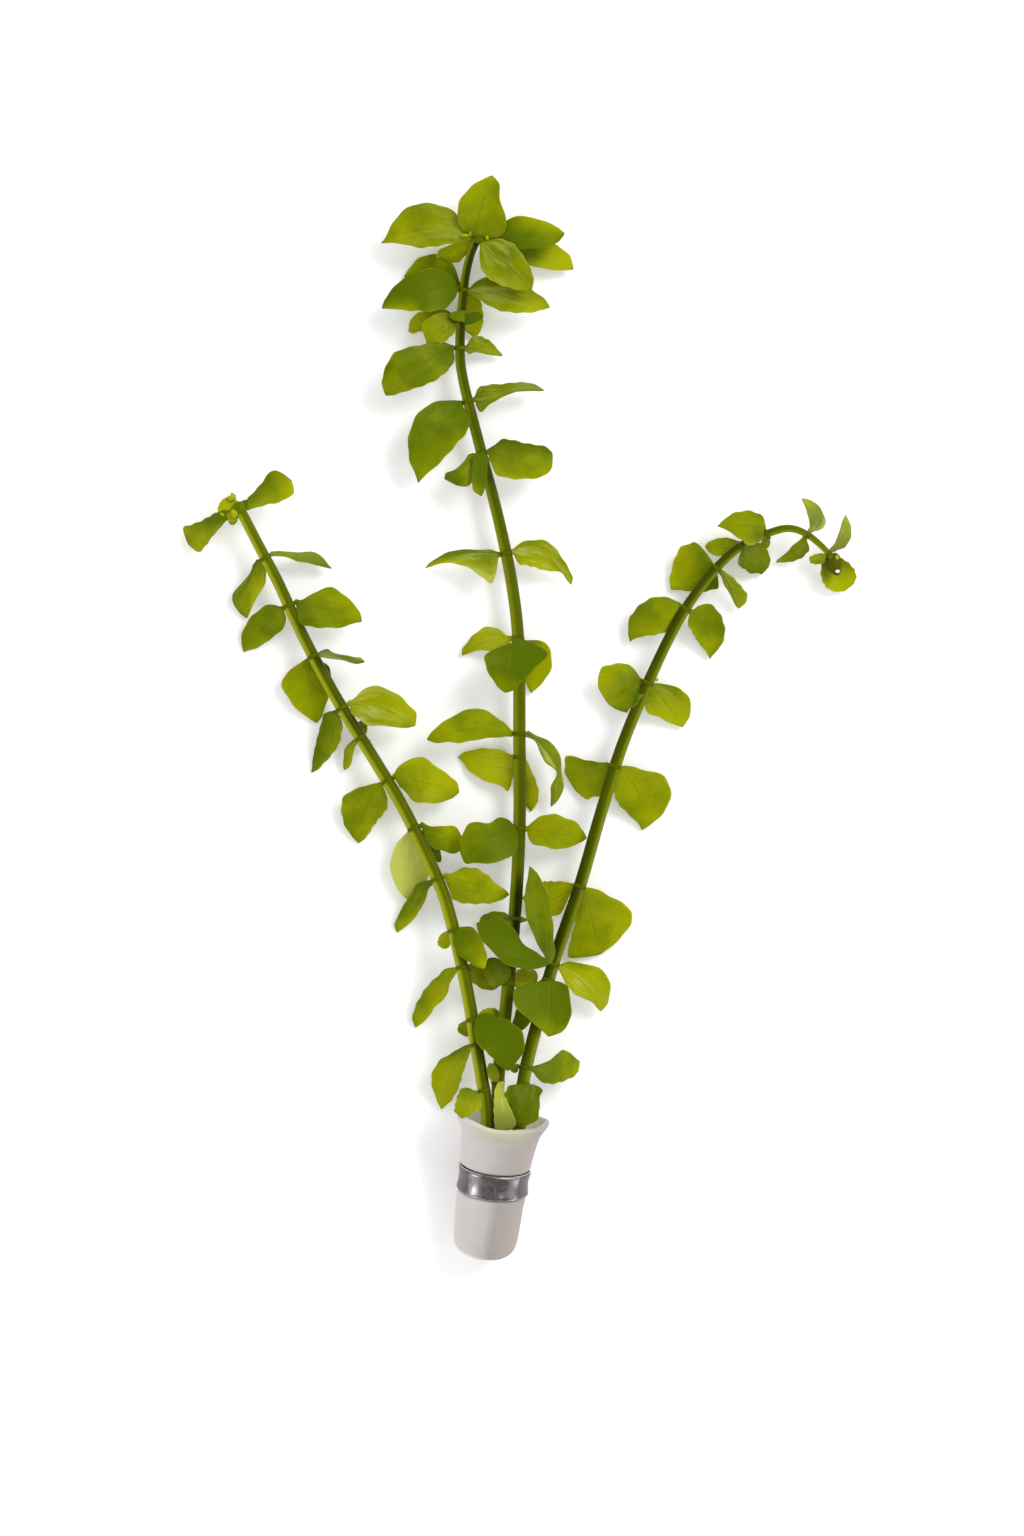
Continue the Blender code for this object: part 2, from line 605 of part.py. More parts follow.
def strip_solid(name):
    """A strip of lead bent round the foam, its ends almost meeting on the underside."""
    end, along, side, up = collar_frame()
    half = STRIP_WIDTH / 2
    outer = STRIP_THICKNESS
    profile = (
        (0.0 + STRIP_FLARE, -half), (0.0, -half * 0.4), (0.0, half * 0.4), (STRIP_FLARE, half),
        (outer + STRIP_FLARE, half), (outer, half * 0.4), (outer, -half * 0.4),
        (outer + STRIP_FLARE, -half),
    )
    first = -math.pi / 2 + STRIP_PARTING / 2
    sweep = math.tau - STRIP_PARTING
    loops = []
    for k in range(STRIP_SIDES + 1):
        turn = first + sweep * k / STRIP_SIDES
        out = side * math.cos(turn) + up * math.sin(turn)
        loops.append([
            end + along * (STRIP_PLACE + height) + out * (STRIP_RADIUS + depth)
            for depth, height in profile
        ])
    return mesh_object(name, *loft(loops))


def linear(channel):
    share = channel / 255
    return share / 12.92 if share <= 0.04045 else ((share + 0.055) / 1.055) ** 2.4


def finish(piece, colour, roughness, metallic=0.0):
    """A plain material of the piece's own, and smooth shading up to its sharp edges."""
    material = bpy.data.materials.new(piece.name + "_finish")
    material.use_nodes = True
    shader = material.node_tree.nodes["Principled BSDF"]
    shader.inputs["Base Color"].default_value = (*[linear(c) for c in colour], 1.0)
    shader.inputs["Roughness"].default_value = roughness
    shader.inputs["Metallic"].default_value = metallic
    piece.data.materials.clear()
    piece.data.materials.append(material)
    piece.data.shade_smooth()
    piece.data.set_sharp_from_angle(angle=math.radians(50))


def main():
    for old in list(bpy.data.objects):
        bpy.data.objects.remove(old)
    for key, stem in STEMS.items():
        nodes = [distance for distance, _ in LEAVES[key]]
        finish(stem_solid(f"{key}_stem", stem, nodes), STEM_COLOUR, 0.45)
        for i, (distance, blades) in enumerate(LEAVES[key], 1):
            name = f"{key}_leaves_{i:02d}"
            deep = any(blade["layer"] == FRONT for blade in blades)
            finish(leaf_node(name, stem, distance, blades), LEAF_DEEP if deep else LEAF_LIT, 0.42)
    finish(foam_solid("foam_collar"), FOAM_COLOUR, 0.9)
    finish(strip_solid("lead_strip"), LEAD_COLOUR, 0.5, 0.8)


main()
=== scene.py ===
# %% [markdown]
# # A bunch of lemon bacopa
#
# The object is a small bunch of an aquarium plant, lying on a white table and seen from
# straight above. Three cut stems fan out of a white foam collar, and a bent strip of lead
# holds the collar shut. Stubby yellow-green leaves sit on the stems in opposite pairs.
#
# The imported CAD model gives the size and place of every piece. Here each piece is drawn
# again, with smooth forms and materials, in the space that its CAD solid holds.

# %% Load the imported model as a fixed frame
import math

import bmesh
import bpy
import numpy as np
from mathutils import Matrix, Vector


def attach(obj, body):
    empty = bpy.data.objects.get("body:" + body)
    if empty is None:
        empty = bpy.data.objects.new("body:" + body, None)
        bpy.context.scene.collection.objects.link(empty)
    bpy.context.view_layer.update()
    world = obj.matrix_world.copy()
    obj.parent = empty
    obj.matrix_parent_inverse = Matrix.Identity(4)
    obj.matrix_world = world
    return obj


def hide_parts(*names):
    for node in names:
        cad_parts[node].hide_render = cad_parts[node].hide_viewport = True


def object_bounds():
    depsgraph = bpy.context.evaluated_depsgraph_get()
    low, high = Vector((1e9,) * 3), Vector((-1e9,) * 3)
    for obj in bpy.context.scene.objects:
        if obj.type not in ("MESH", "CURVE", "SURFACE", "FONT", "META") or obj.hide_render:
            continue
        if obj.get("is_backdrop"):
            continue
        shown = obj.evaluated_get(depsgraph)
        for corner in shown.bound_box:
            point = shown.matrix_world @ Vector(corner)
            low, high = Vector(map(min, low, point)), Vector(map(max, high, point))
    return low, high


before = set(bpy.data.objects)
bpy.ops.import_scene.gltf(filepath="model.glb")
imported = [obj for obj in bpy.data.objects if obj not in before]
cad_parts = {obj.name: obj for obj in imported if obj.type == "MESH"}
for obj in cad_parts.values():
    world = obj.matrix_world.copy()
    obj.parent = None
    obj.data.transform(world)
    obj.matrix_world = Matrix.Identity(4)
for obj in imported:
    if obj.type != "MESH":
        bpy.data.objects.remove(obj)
cad_box = [list(corner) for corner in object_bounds()]
print("nodes in the frame:", len(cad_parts))
print("CAD box in metres:", cad_box)

# %% [markdown]
# ## Camera, floor and light
#
# The photo looks straight down at a plant on a white table. A pixel of the photo, which is
# 1024 x 1536 pixels, covers 0.22 mm of the table. A long lens from a metre up keeps the
# perspective mild. The light is a plain white studio: an even white surround, one large soft
# lamp at the upper right, so every leaf drops a faint shadow to its lower left, and two weak
# lamps at the sides that give the lead its glints. The table glows a little, like the bright
# sweep under a packshot, which keeps the shadows pale.

# %% Camera at the photo's viewing angle
MM = 0.001
PIXEL = 0.22 * MM
PHOTO_HEIGHT = 1536
CAMERA_HEIGHT = 1.0
SENSOR = 36.0

camera_data = bpy.data.cameras.new("camera")
camera_data.sensor_width = SENSOR
camera_data.lens = SENSOR * CAMERA_HEIGHT / (PHOTO_HEIGHT * PIXEL)
camera = bpy.data.objects.new("camera", camera_data)
camera.location = (-1.75 * MM, -10.57 * MM, CAMERA_HEIGHT)
bpy.context.scene.collection.objects.link(camera)
bpy.context.scene.camera = camera
print("lens in mm:", round(camera_data.lens, 1))

# %% White floor, white surround and soft lamps
def plain_material(name, colour, roughness):
    """A matt material of one colour, for things that are not part of the object."""
    made = bpy.data.materials.new(name)
    made.use_nodes = True
    shader = made.node_tree.nodes["Principled BSDF"]
    shader.inputs["Base Color"].default_value = (*colour, 1.0)
    shader.inputs["Roughness"].default_value = roughness
    shader.inputs["Specular IOR Level"].default_value = 0.0
    return made


def soft_lamp(name, place, size, power):
    """A square lamp that points at the middle of the plant."""
    data = bpy.data.lights.new(name, "AREA")
    data.size = size
    data.energy = power
    lamp = bpy.data.objects.new(name, data)
    lamp.location = place
    to_plant = -np.array(place) / np.linalg.norm(place)
    yaw = math.atan2(-to_plant[0], to_plant[1])
    lamp.rotation_euler = (math.acos(-to_plant[2]), 0.0, yaw)
    bpy.context.scene.collection.objects.link(lamp)
    return lamp


FLOOR_SIZE = 6.0
floor_mesh = bpy.data.meshes.new("floor")
corner = FLOOR_SIZE / 2
floor_mesh.from_pydata(
    [(-corner, -corner, 0), (corner, -corner, 0), (corner, corner, 0), (-corner, corner, 0)],
    [],
    [(0, 1, 2, 3)],
)
floor = bpy.data.objects.new("floor", floor_mesh)
floor.location.z = -0.1 * MM
TABLE_GLOW = 0.13
white_table = plain_material("white_table", (0.95, 0.95, 0.95), 0.9)
table_shader = white_table.node_tree.nodes["Principled BSDF"]
table_shader.inputs["Emission Color"].default_value = (1.0, 1.0, 1.0, 1.0)
table_shader.inputs["Emission Strength"].default_value = TABLE_GLOW
floor_mesh.materials.append(white_table)
bpy.context.scene.collection.objects.link(floor)
floor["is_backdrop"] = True

def studio_world():
    """An even white surround that lights the plant, but that shows dark in a gloss, as the
    room behind a photographer does."""
    world = bpy.data.worlds.new("studio")
    world.use_nodes = True
    tree = world.node_tree
    white = tree.nodes["Background"]
    white.inputs["Color"].default_value = (1.0, 1.0, 1.0, 1.0)
    white.inputs["Strength"].default_value = SURROUND_STRENGTH
    dark = tree.nodes.new("ShaderNodeBackground")
    dark.inputs["Color"].default_value = (1.0, 1.0, 1.0, 1.0)
    dark.inputs["Strength"].default_value = GLOSS_STRENGTH
    ray = tree.nodes.new("ShaderNodeLightPath")
    either = tree.nodes.new("ShaderNodeMixShader")
    tree.links.new(ray.outputs["Is Glossy Ray"], either.inputs["Fac"])
    tree.links.new(white.outputs["Background"], either.inputs[1])
    tree.links.new(dark.outputs["Background"], either.inputs[2])
    tree.links.new(either.outputs[0], tree.nodes["World Output"].inputs["Surface"])
    return world


SURROUND_STRENGTH = 0.85
GLOSS_STRENGTH = 0.3
bpy.context.scene.world = studio_world()
soft_lamp("key_lamp", (1.1, 0.9, 1.6), 0.8, 20.0)
soft_lamp("side_lamp", (-1.35, -0.3, 0.75), 0.25, 1.4)
soft_lamp("small_lamp", (0.85, -0.34, 1.2), 0.15, 0.9)
bpy.context.scene.view_settings.view_transform = "Standard"
print("floor, surround and lamps are set")

# %% [markdown]
# ## The stems' centre lines
#
# A stem is a long, gently bent rod. Its centre line is a smooth curve through a few points,
# in millimetres, from the cut end in the foam to the growing tip. The stem is nearly even in
# thickness and thins only near its tip, so its radius falls with the fourth power of the way
# along it.

# %% A smooth curve through points, and what a stem knows about itself
UP = np.array([0.0, 0.0, 1.0])
ORIGIN_SHIFT = np.array([0.15, -0.37, -0.03])


def unit(vector):
    return vector / np.linalg.norm(vector)


def smooth_curve(points, per_span=12):
    """A curve through the points, with a short straight run-out at each end."""
    p = np.array(points, float)
    p = np.vstack([2 * p[0] - p[1], p, 2 * p[-1] - p[-2]])
    found = []
    for i in range(1, len(p) - 2):
        a, b, c, d = p[i - 1 : i + 3]
        for t in np.linspace(0, 1, per_span, endpoint=False):
            cubic = (-a + 3 * b - 3 * c + d) * t**3
            square = (2 * a - 5 * b + 4 * c - d) * t**2
            found.append((2 * b + (c - a) * t + square + cubic) / 2)
    found.append(p[-2])
    return np.array(found)


def frame_about(tangent, heading=None):
    """The directions to the right of a tangent and up from it, seen from above."""
    flat = np.array([tangent[0], tangent[1], 0.0])
    if heading is not None:
        flat = flat + 0.3 * heading
    side = unit(np.cross(flat, UP))
    side = unit(side - tangent * side.dot(tangent))
    return side, np.cross(side, tangent)


class Stem:
    """A stem as a smooth curve from its cut end, thinning to its growing tip."""

    def __init__(self, points, cut_radius, tip_radius):
        self.curve = smooth_curve(points)
        steps = np.linalg.norm(np.diff(self.curve, axis=0), axis=1)
        self.reach = np.concatenate([[0.0], np.cumsum(steps)])
        self.length = self.reach[-1]
        self.cut_radius = cut_radius
        self.tip_radius = tip_radius
        self.radii = self.radius(self.reach)

    def at(self, distance):
        point = np.array([np.interp(distance, self.reach, self.curve[:, k]) for k in range(3)])
        i = int(np.clip(np.searchsorted(self.reach, distance), 1, len(self.reach) - 1))
        return point, unit(self.curve[i] - self.curve[i - 1])

    def radius(self, distance):
        share = np.clip(distance / self.length, 0, 1)
        return self.cut_radius + (self.tip_radius - self.cut_radius) * share**4

    def nearest(self, points, axes=3):
        """For each point, the index of the curve's nearest point, and the way between them.
        With axes=2 both are judged from above."""
        gaps = np.linalg.norm(points[:, None, :axes] - self.curve[None, :, :axes], axis=2)
        found = gaps.argmin(1)
        return found, gaps[np.arange(len(points)), found]


# %% The three stems
STEMS = {
    "middle": Stem(
        [
            (-5.6, -102.2, 9.2), (-4.9, -86.7, 11.6), (-4.9, -77.6, 11.4), (-3.4, -63.9, 9.9),
            (-1.3, -42.2, 7.6), (-0.3, -23.3, 6.1), (-0.3, -2.6, 5.6), (-0.5, 16.7, 5.6),
            (-1.9, 29.8, 5.6), (-4.8, 44.0, 5.6), (-9.3, 61.5, 5.6), (-12.6, 74.7, 5.6),
            (-13.3, 82.3, 5.7), (-12.5, 94.4, 6.1), (-11.0, 101.9, 6.7), (-8.8, 106.4, 7.1),
        ],
        1.4,
        0.85,
    ),
    "left": Stem(
        [
            (-8.0, -102.0, 11.0), (-7.3, -86.1, 14.2), (-8.4, -77.9, 13.2), (-9.7, -70.3, 12.3),
            (-11.7, -58.4, 11.0), (-15.2, -43.3, 9.4), (-18.3, -34.2, 8.2), (-25.2, -19.8, 7.0),
            (-31.3, -9.5, 6.4), (-40.1, 4.7, 5.9), (-47.2, 17.8, 5.6), (-53.3, 30.9, 5.8),
            (-57.0, 37.9, 6.2), (-61.4, 46.5, 7.1),
        ],
        1.38,
        1.12,
    ),
    "right": Stem(
        [
            (-3.2, -102.1, 10.6), (0.1, -85.5, 13.6), (0.7, -77.5, 12.6), (3.2, -67.1, 11.2),
            (7.1, -52.7, 9.6), (12.9, -35.9, 8.0), (17.7, -19.4, 7.1), (22.6, -4.1, 6.5),
            (30.1, 13.4, 6.0), (36.2, 24.9, 6.0), (43.0, 33.7, 6.2), (48.3, 38.4, 6.8),
            (53.9, 41.0, 7.6), (58.6, 42.1, 8.0), (62.8, 40.6, 7.8), (67.2, 36.9, 6.5),
            (68.2, 35.2, 5.9),
        ],
        1.4,
        0.6,
    ),
}
for key, stem in STEMS.items():
    print(key, "stem:", round(stem.length, 1), "mm along its curve")

# %% [markdown]
# ## The leaves
#
# Lemon bacopa has thick, egg-shaped leaves without stalks. They grow in pairs, one leaf on
# each side of the stem, and each pair is turned a quarter against the pair below it. In the
# lying bunch every second pair is seen from its edge, or lies over or under its stem.
#
# One short rule draws them all. A leaf has a bent midrib from the stem to its tip, and two
# halves, each with its own widths on the way, so no leaf has to be even. Each row below gives
# the place of a pair on its stem, and then its leaves: the tip, the widths of the two halves,
# and how the leaf is bowed, rolled, twisted and folded. The last words are for its look: tone
# runs from deep green to lit yellow-green, at the base, at the tip and from left to right, and
# sheen says how much painted silvery sheen, a painted reflection, it shows. The tone is partly
# the leaf's own colour and partly painted light and shade; its left-to-right part is painted
# shade across a folded leaf.

# %% What one leaf is described by
FRONT = 1
BESIDE = 0
BEHIND = -1
WIDTH_SHARES = (0.08, 0.22, 0.4, 0.6, 0.78, 0.92)


def leaf(
    tip, left, right, bend=0, arch=0, roll=0, twist=0, fold=6, cup=0.05, layer=BESIDE,
    tone=(0.5, 0.5, 0), sheen=0.15, point=0.3, wave=0.2,
):
    """One leaf: its tip from the stem's middle, and its half widths left and right of the
    midrib at six places along it. bend and arch bow it to its left and upwards, roll lifts
    its right edge, twist turns it on the way, and fold lifts both halves. layer says on which
    side of the stems it passes, and point how sharply it ends."""
    edges = []
    for widths in (left, right):
        known = [(math.acos(1 - 2 * s), w, 0.0) for s, w in zip(WIDTH_SHARES, widths)]
        edges.append(smooth_curve([(0.0, 0.0, 0.0), *known, (math.pi, 0.0, 0.0)], 8))
    return dict(
        tip=np.array(tip, float), edges=edges, bend=bend, arch=arch, layer=layer,
        roll=math.radians(roll), twist=math.radians(twist), fold=math.radians(fold), cup=cup,
        tone=tone, sheen=sheen, point=point, wave=wave,
    )


# %% The leaves of each stem, from its cut end up
LEAVES = {
    "middle": [
        (23.9, [
            leaf((2.2, -10.2, 4.0), (0.3, 0.5, 0.8, 1.4, 1.9, 1.9), (1.2, 1.8, 2.2, 2.5, 2.7, 2.6), arch=1,
                layer=FRONT, tone=(1.0, 0.0, 0.0), sheen=0.8),
            leaf((-1.8, 4.4, 3.8), (0.6, 1.0, 1.2, 1.2, 1.0, 0.6), (0.6, 1.0, 1.2, 1.2, 1.0, 0.6),
                layer=FRONT, tone=(0.35, 0.35, 0.0), sheen=0.1),
        ]),
        (45.4, [
            leaf((-4.3, 5.7, 2.5), (2.2, 2.8, 2.8, 2.5, 2.0, 1.2), (2.0, 2.6, 2.7, 2.5, 2.0, 1.2),
                layer=FRONT, tone=(-0.3, -0.15, 0.0), sheen=0.1),
            leaf((6.2, 2.4, -4.5), (1.6, 2.3, 2.6, 2.4, 1.9, 1.2), (1.6, 2.3, 2.6, 2.4, 1.9, 1.2),
                tone=(0.6, 0.75, 0.0), sheen=0.1),
        ]),
        (59.7, [
            leaf((-7.8, -1.2, -5.3), (1.1, 1.8, 2.1, 2.1, 1.8, 1.1), (1.1, 1.8, 2.1, 2.1, 1.8, 1.1),
                layer=BEHIND, tone=(0.35, 0.35, 0.0), sheen=0.1),
            leaf((6.9, -0.4, -4.0), (0.3, 0.3, 0.5, 0.9, 1.2, 1.0), (0.3, 0.3, 0.4, 0.7, 1.0, 0.9),
                tone=(0.35, 0.35, 0.0), sheen=0.1),
        ]),
        (79.5, [
            leaf((-13.4, -3.2, 5.0), (3.9, 5.2, 5.7, 5.3, 4.8, 4.2), (2.5, 3.4, 3.2, 3.9, 4.0, 1.6),
                bend=0.6, arch=1.5, layer=FRONT, tone=(-0.16, 0.19, 0.39), sheen=0.01),
            leaf((14.8, -2.2, -2.0), (1.8, 3.5, 4.1, 3.7, 3.0, 1.5), (2.6, 3.3, 3.4, 3.3, 2.1, 1.0), arch=2,
                tone=(0.6, 0.63, -0.11), sheen=0.02),
        ]),
        (95.1, [
            leaf((-13.5, -0.1, -5.3), (7.1, 6.3, 5.7, 4.6, 3.2, 1.0), (0.6, 1.6, 2.0, 2.0, 1.6, 1.0),
                layer=BEHIND, tone=(0.67, 1.5, -0.06), sheen=0.18),
            leaf((2.5, -12.0, -5.6), (1.2, 1.5, 2.1, 2.5, 2.2, 1.2), (0.3, 0.9, 1.6, 1.8, 1.7, 0.5),
                layer=BEHIND, tone=(0.54, 0.49, -1.0), sheen=0.09),
        ]),
        (100.2, [
            leaf((-20.2, -1.3, 1.5), (1.0, 1.6, 2.2, 2.6, 1.9, 1.3), (1.8, 3.4, 4.8, 3.9, 2.5, 1.3),
                bend=-1.4, arch=2, tone=(0.4, 0.56, 0.04), sheen=0.03),
            leaf((6.9, -16.0, -2.4), (0.5, 1.2, 1.2, 0.5, 1.2, 0.9), (0.5, 1.9, 2.7, 0.7, 1.7, 0.9),
                bend=4.1, arch=2, twist=20, tone=(0.2, 0.4, -0.2), sheen=0.62),
        ]),
        (121.1, [
            leaf((-12.3, -3.7, -4.5), (2.2, 2.6, 2.4, 1.4, 0.8, 0.4), (0.8, 2.5, 3.1, 2.6, 1.7, 1.1),
                bend=-1.1, tone=(0.99, 0.61, -0.24), sheen=0.23),
            leaf((-2.8, -12.0, 4.5), (4.5, 7.7, 6.3, 4.5, 3.0, 1.8), (0.5, 2.7, 5.6, 5.3, 3.5, 1.9), arch=2,
                layer=FRONT, tone=(-0.3, 0.29, 0.2), sheen=0.0),
            leaf((2.9, -11.9, -4.5), (0.8, 4.0, 4.6, 4.0, 2.4, 0.9), (0.3, 1.5, 2.3, 2.5, 1.9, 1.1),
                bend=1.5, layer=BEHIND, tone=(0.17, 1.01, -0.65), sheen=0.07),
        ]),
        (139.9, [
            leaf((-17.8, -3.2, -2.5), (6.4, 5.3, 3.1, 1.4, 0.5, 0.3), (1.0, 0.9, 1.2, 1.5, 1.1, 0.6),
                bend=-1.2, arch=2, fold=12, tone=(0.15, 0.64, -0.93), sheen=0.41),
            leaf((14.3, -6.8, -3.5), (1.8, 2.9, 3.6, 2.5, 1.7, 1.2), (2.7, 2.9, 2.8, 2.1, 0.3, 0.3),
                bend=2.0, arch=2, roll=-10, tone=(0.59, 0.71, 0.4), sheen=0.58),
        ]),
        (162.4, [
            leaf((15.5, 0.0, 1.5), (1.7, 3.4, 3.4, 2.8, 2.3, 1.6), (2.3, 4.9, 5.6, 5.5, 5.2, 3.3),
                bend=-1.0, arch=2, fold=20, tone=(0.35, 0.27, 0.52), sheen=0.09),
            leaf((-8.1, -5.7, 1.5), (1.3, 2.1, 3.0, 4.0, 2.5, 0.9), (1.1, 1.0, 0.9, 0.8, 1.0, 1.0),
                bend=0.8, arch=1.5, tone=(0.34, 0.06, -0.28), sheen=0.11),
            leaf((0.0, -9.7, 5.5), (1.7, 1.6, 1.5, 1.4, 1.0, 0.5), (1.5, 1.6, 1.8, 1.9, 2.0, 1.4),
                layer=FRONT, tone=(-0.3, 0.22, 0.5), sheen=0.02),
        ]),
        (174.2, [
            leaf((16.8, 2.4, -0.5), (2.4, 2.5, 2.2, 2.7, 2.7, 1.9), (3.7, 2.6, 1.2, 0.4, 0.5, 0.5),
                bend=0.5, arch=2, roll=20, twist=40, tone=(0.31, 0.24, -0.14), sheen=0.29),
            leaf((-10.9, -17.9, 0.5), (4.2, 5.5, 5.3, 4.4, 2.8, 1.0), (2.3, 4.6, 5.6, 4.9, 3.3, 1.1),
                bend=-1.3, arch=3, tone=(-0.0, 0.44, -0.27), sheen=0.02),
        ]),
        (186.0, [
            leaf((-16.2, -10.5, 1.5), (3.1, 4.4, 4.9, 4.1, 2.7, 1.4), (1.7, 2.7, 4.1, 5.3, 4.2, 2.6),
                bend=-0.8, arch=3, tone=(0.11, 0.33, -0.08), sheen=0.06),
            leaf((9.5, -1.3, -4.0), (2.6, 3.2, 3.0, 2.4, 1.4, 0.5), (1.2, 0.6, 0.5, 0.5, 0.4, 0.3),
                tone=(0.37, 0.46, 0.33), sheen=0.18),
        ]),
        (192.1, [
            leaf((4.9, 0.4, 5.3), (1.0, 1.3, 1.3, 1.2, 1.0, 0.6), (1.0, 1.3, 1.3, 1.2, 1.0, 0.6),
                layer=FRONT, tone=(-0.2, 0.0, 0.0), sheen=0.0),
            leaf((-7.6, -5.1, -0.3), (1.5, 2.3, 2.7, 2.6, 2.1, 0.6), (2.2, 3.0, 3.5, 3.6, 3.2, 1.1), arch=2,
                tone=(0.3, 0.77, -0.03), sheen=0.12),
            leaf((-11.6, -2.0, -5.2), (0.3, 0.6, 1.0, 1.0, 0.6, 0.7), (1.8, 2.9, 3.6, 3.7, 3.2, 2.3),
                layer=BEHIND, tone=(0.21, 1.05, -0.21), sheen=0.07),
        ]),
        (198.7, [
            leaf((-13.1, 3.4, -5.0), (0.3, 0.9, 2.3, 2.9, 2.7, 1.9), (1.6, 3.9, 5.3, 5.3, 4.1, 1.9),
                bend=-0.9, layer=BEHIND, tone=(-0.3, 0.18, 0.87), sheen=0.0),
            leaf((-17.8, -4.2, 1.0), (2.9, 4.4, 4.6, 3.6, 2.2, 0.8), (3.2, 4.5, 4.8, 4.2, 2.8, 1.4),
                bend=-0.8, arch=3, tone=(-0.3, 0.35, -0.68), sheen=0.01),
            leaf((18.9, -3.8, 0.0), (2.6, 3.6, 4.0, 3.5, 2.5, 1.4), (1.3, 2.3, 3.2, 3.0, 2.2, 1.0), arch=2,
                tone=(0.24, 0.57, 0.35), sheen=0.28),
            leaf((2.8, -10.7, -5.0), (1.8, 2.6, 2.7, 2.5, 1.7, 0.3), (0.8, 1.4, 1.7, 2.0, 1.8, 0.4),
                layer=BEHIND, tone=(0.73, 0.9, -0.38), sheen=0.04),
        ]),
        (210.4, [
            leaf((3.0, 13.3, 4.1), (3.1, 4.3, 4.9, 4.3, 2.9, 1.3), (5.2, 6.4, 6.3, 4.1, 2.8, 2.0), arch=1.5,
                tone=(0.38, 0.55, -0.19), sheen=0.04),
            leaf((-21.2, -0.9, -0.9), (2.0, 3.2, 4.1, 4.0, 2.2, 0.8), (0.4, 3.8, 5.4, 5.6, 3.6, 1.0),
                bend=-1.8, arch=2, fold=12, tone=(0.4, 0.53, 0.02), sheen=0.15),
            leaf((18.9, 0.9, 2.1), (1.6, 3.1, 4.2, 3.8, 2.5, 1.2), (0.3, 1.7, 2.9, 3.2, 3.0, 2.0), bend=0.4,
                arch=2, tone=(-0.07, 0.49, -0.73), sheen=0.02),
            leaf((20.9, -6.2, -4.9), (2.0, 3.4, 4.3, 4.5, 3.9, 2.7), (0.3, 1.2, 1.7, 1.9, 1.5, 0.8),
                tone=(-0.3, 1.03, 0.51), sheen=0.07),
            leaf((11.7, -11.6, 4.9), (1.3, 3.4, 4.3, 3.9, 3.1, 2.0), (1.4, 3.6, 4.9, 4.5, 3.2, 1.7),
                layer=FRONT, tone=(0.34, 0.47, 0.09), sheen=0.34),
            leaf((-9.3, -4.3, -3.4), (0.3, 1.6, 2.6, 2.9, 2.0, 0.3), (0.3, 0.6, 0.9, 1.3, 1.6, 1.0),
                layer=BEHIND, tone=(0.96, 0.54, 0.75), sheen=0.06),
        ]),
    ],
    "left": [
        (22.1, [
            leaf((-4.8, -5.6, 3.2), (1.5, 2.1, 2.7, 1.7, 1.3, 0.4), (2.4, 3.2, 3.2, 2.9, 2.5, 2.1), arch=1,
                tone=(0.42, 0.65, -0.2), sheen=0.06),
        ]),
        (32.3, [
            leaf((-7.8, -14.8, -11.4), (0.8, 1.6, 2.2, 2.6, 2.2, 1.1), (1.4, 2.3, 3.8, 3.9, 2.4, 1.0),
                bend=-1.1, tone=(0.63, 1.5, -0.97), sheen=0.05),
        ]),
        (37.8, [
            leaf((7.8, -10.8, 4.3), (2.1, 2.8, 4.4, 5.1, 3.8, 1.5), (2.8, 4.0, 4.4, 3.7, 2.9, 1.7),
                bend=1.9, arch=1, layer=FRONT, tone=(-0.17, -0.15, 0.45), sheen=0.0),
            leaf((6.0, 1.4, -4.7), (0.8, 1.4, 1.7, 1.7, 1.4, 0.8), (0.8, 1.4, 1.7, 1.7, 1.4, 0.8),
                layer=BEHIND, tone=(0.6, 0.75, 0.0), sheen=0.1),
            leaf((-1.8, -3.8, -5.0), (0.9, 1.4, 1.7, 1.7, 1.4, 0.9), (1.0, 1.6, 1.9, 1.9, 1.6, 1.0),
                tone=(0.35, 0.35, 0.0), sheen=0.1),
        ]),
        (49.5, [
            leaf((-10.4, -13.7, -9.8), (0.6, 0.9, 1.8, 1.1, 1.1, 0.6), (1.8, 2.3, 2.9, 2.9, 2.5, 1.6),
                tone=(0.66, 0.7, -0.67), sheen=0.04),
            leaf((8.2, -4.2, -4.8), (1.4, 2.2, 2.5, 2.5, 2.2, 1.4), (1.4, 2.2, 2.5, 2.5, 2.2, 1.4),
                layer=BEHIND, tone=(0.6, 0.8, 0.0), sheen=0.1),
        ]),
        (57.7, [
            leaf((6.6, -8.3, 3.8), (1.5, 2.6, 2.7, 2.2, 1.7, 0.9), (2.4, 3.1, 3.6, 3.2, 2.2, 1.2), bend=0.7,
                layer=FRONT, tone=(0.02, 0.74, -0.7), sheen=0.0),
            leaf((-2.6, -4.0, -3.2), (0.9, 1.3, 1.5, 1.5, 1.3, 0.9), (0.9, 1.3, 1.5, 1.5, 1.3, 0.9),
                tone=(0.7, 0.8, 0.0), sheen=0.1),
        ]),
        (69.6, [
            leaf((15.7, -3.5, -2.0), (0.8, 2.6, 3.4, 2.8, 1.4, 0.9), (3.4, 4.6, 4.7, 3.9, 2.8, 1.4), arch=2,
                tone=(0.56, 0.64, -0.45), sheen=0.04),
            leaf((-8.9, -12.0, -8.0), (0.3, 1.0, 1.5, 1.5, 1.1, 0.5), (1.8, 2.3, 2.1, 2.1, 1.9, 1.4),
                tone=(0.21, 0.55, -0.42), sheen=0.05),
        ]),
        (81.8, [
            leaf((11.5, -3.4, -1.0), (0.3, 0.5, 1.4, 2.5, 1.7, 0.3), (2.4, 3.1, 3.7, 3.6, 3.3, 2.2), arch=1,
                tone=(0.16, 0.64, -0.52), sheen=0.01),
            leaf((-1.4, -15.8, -5.0), (1.5, 3.0, 4.3, 4.6, 3.5, 1.6), (1.4, 3.0, 4.0, 3.9, 2.9, 1.4),
                layer=BEHIND, tone=(1.5, 1.5, 0.0), sheen=1.0),
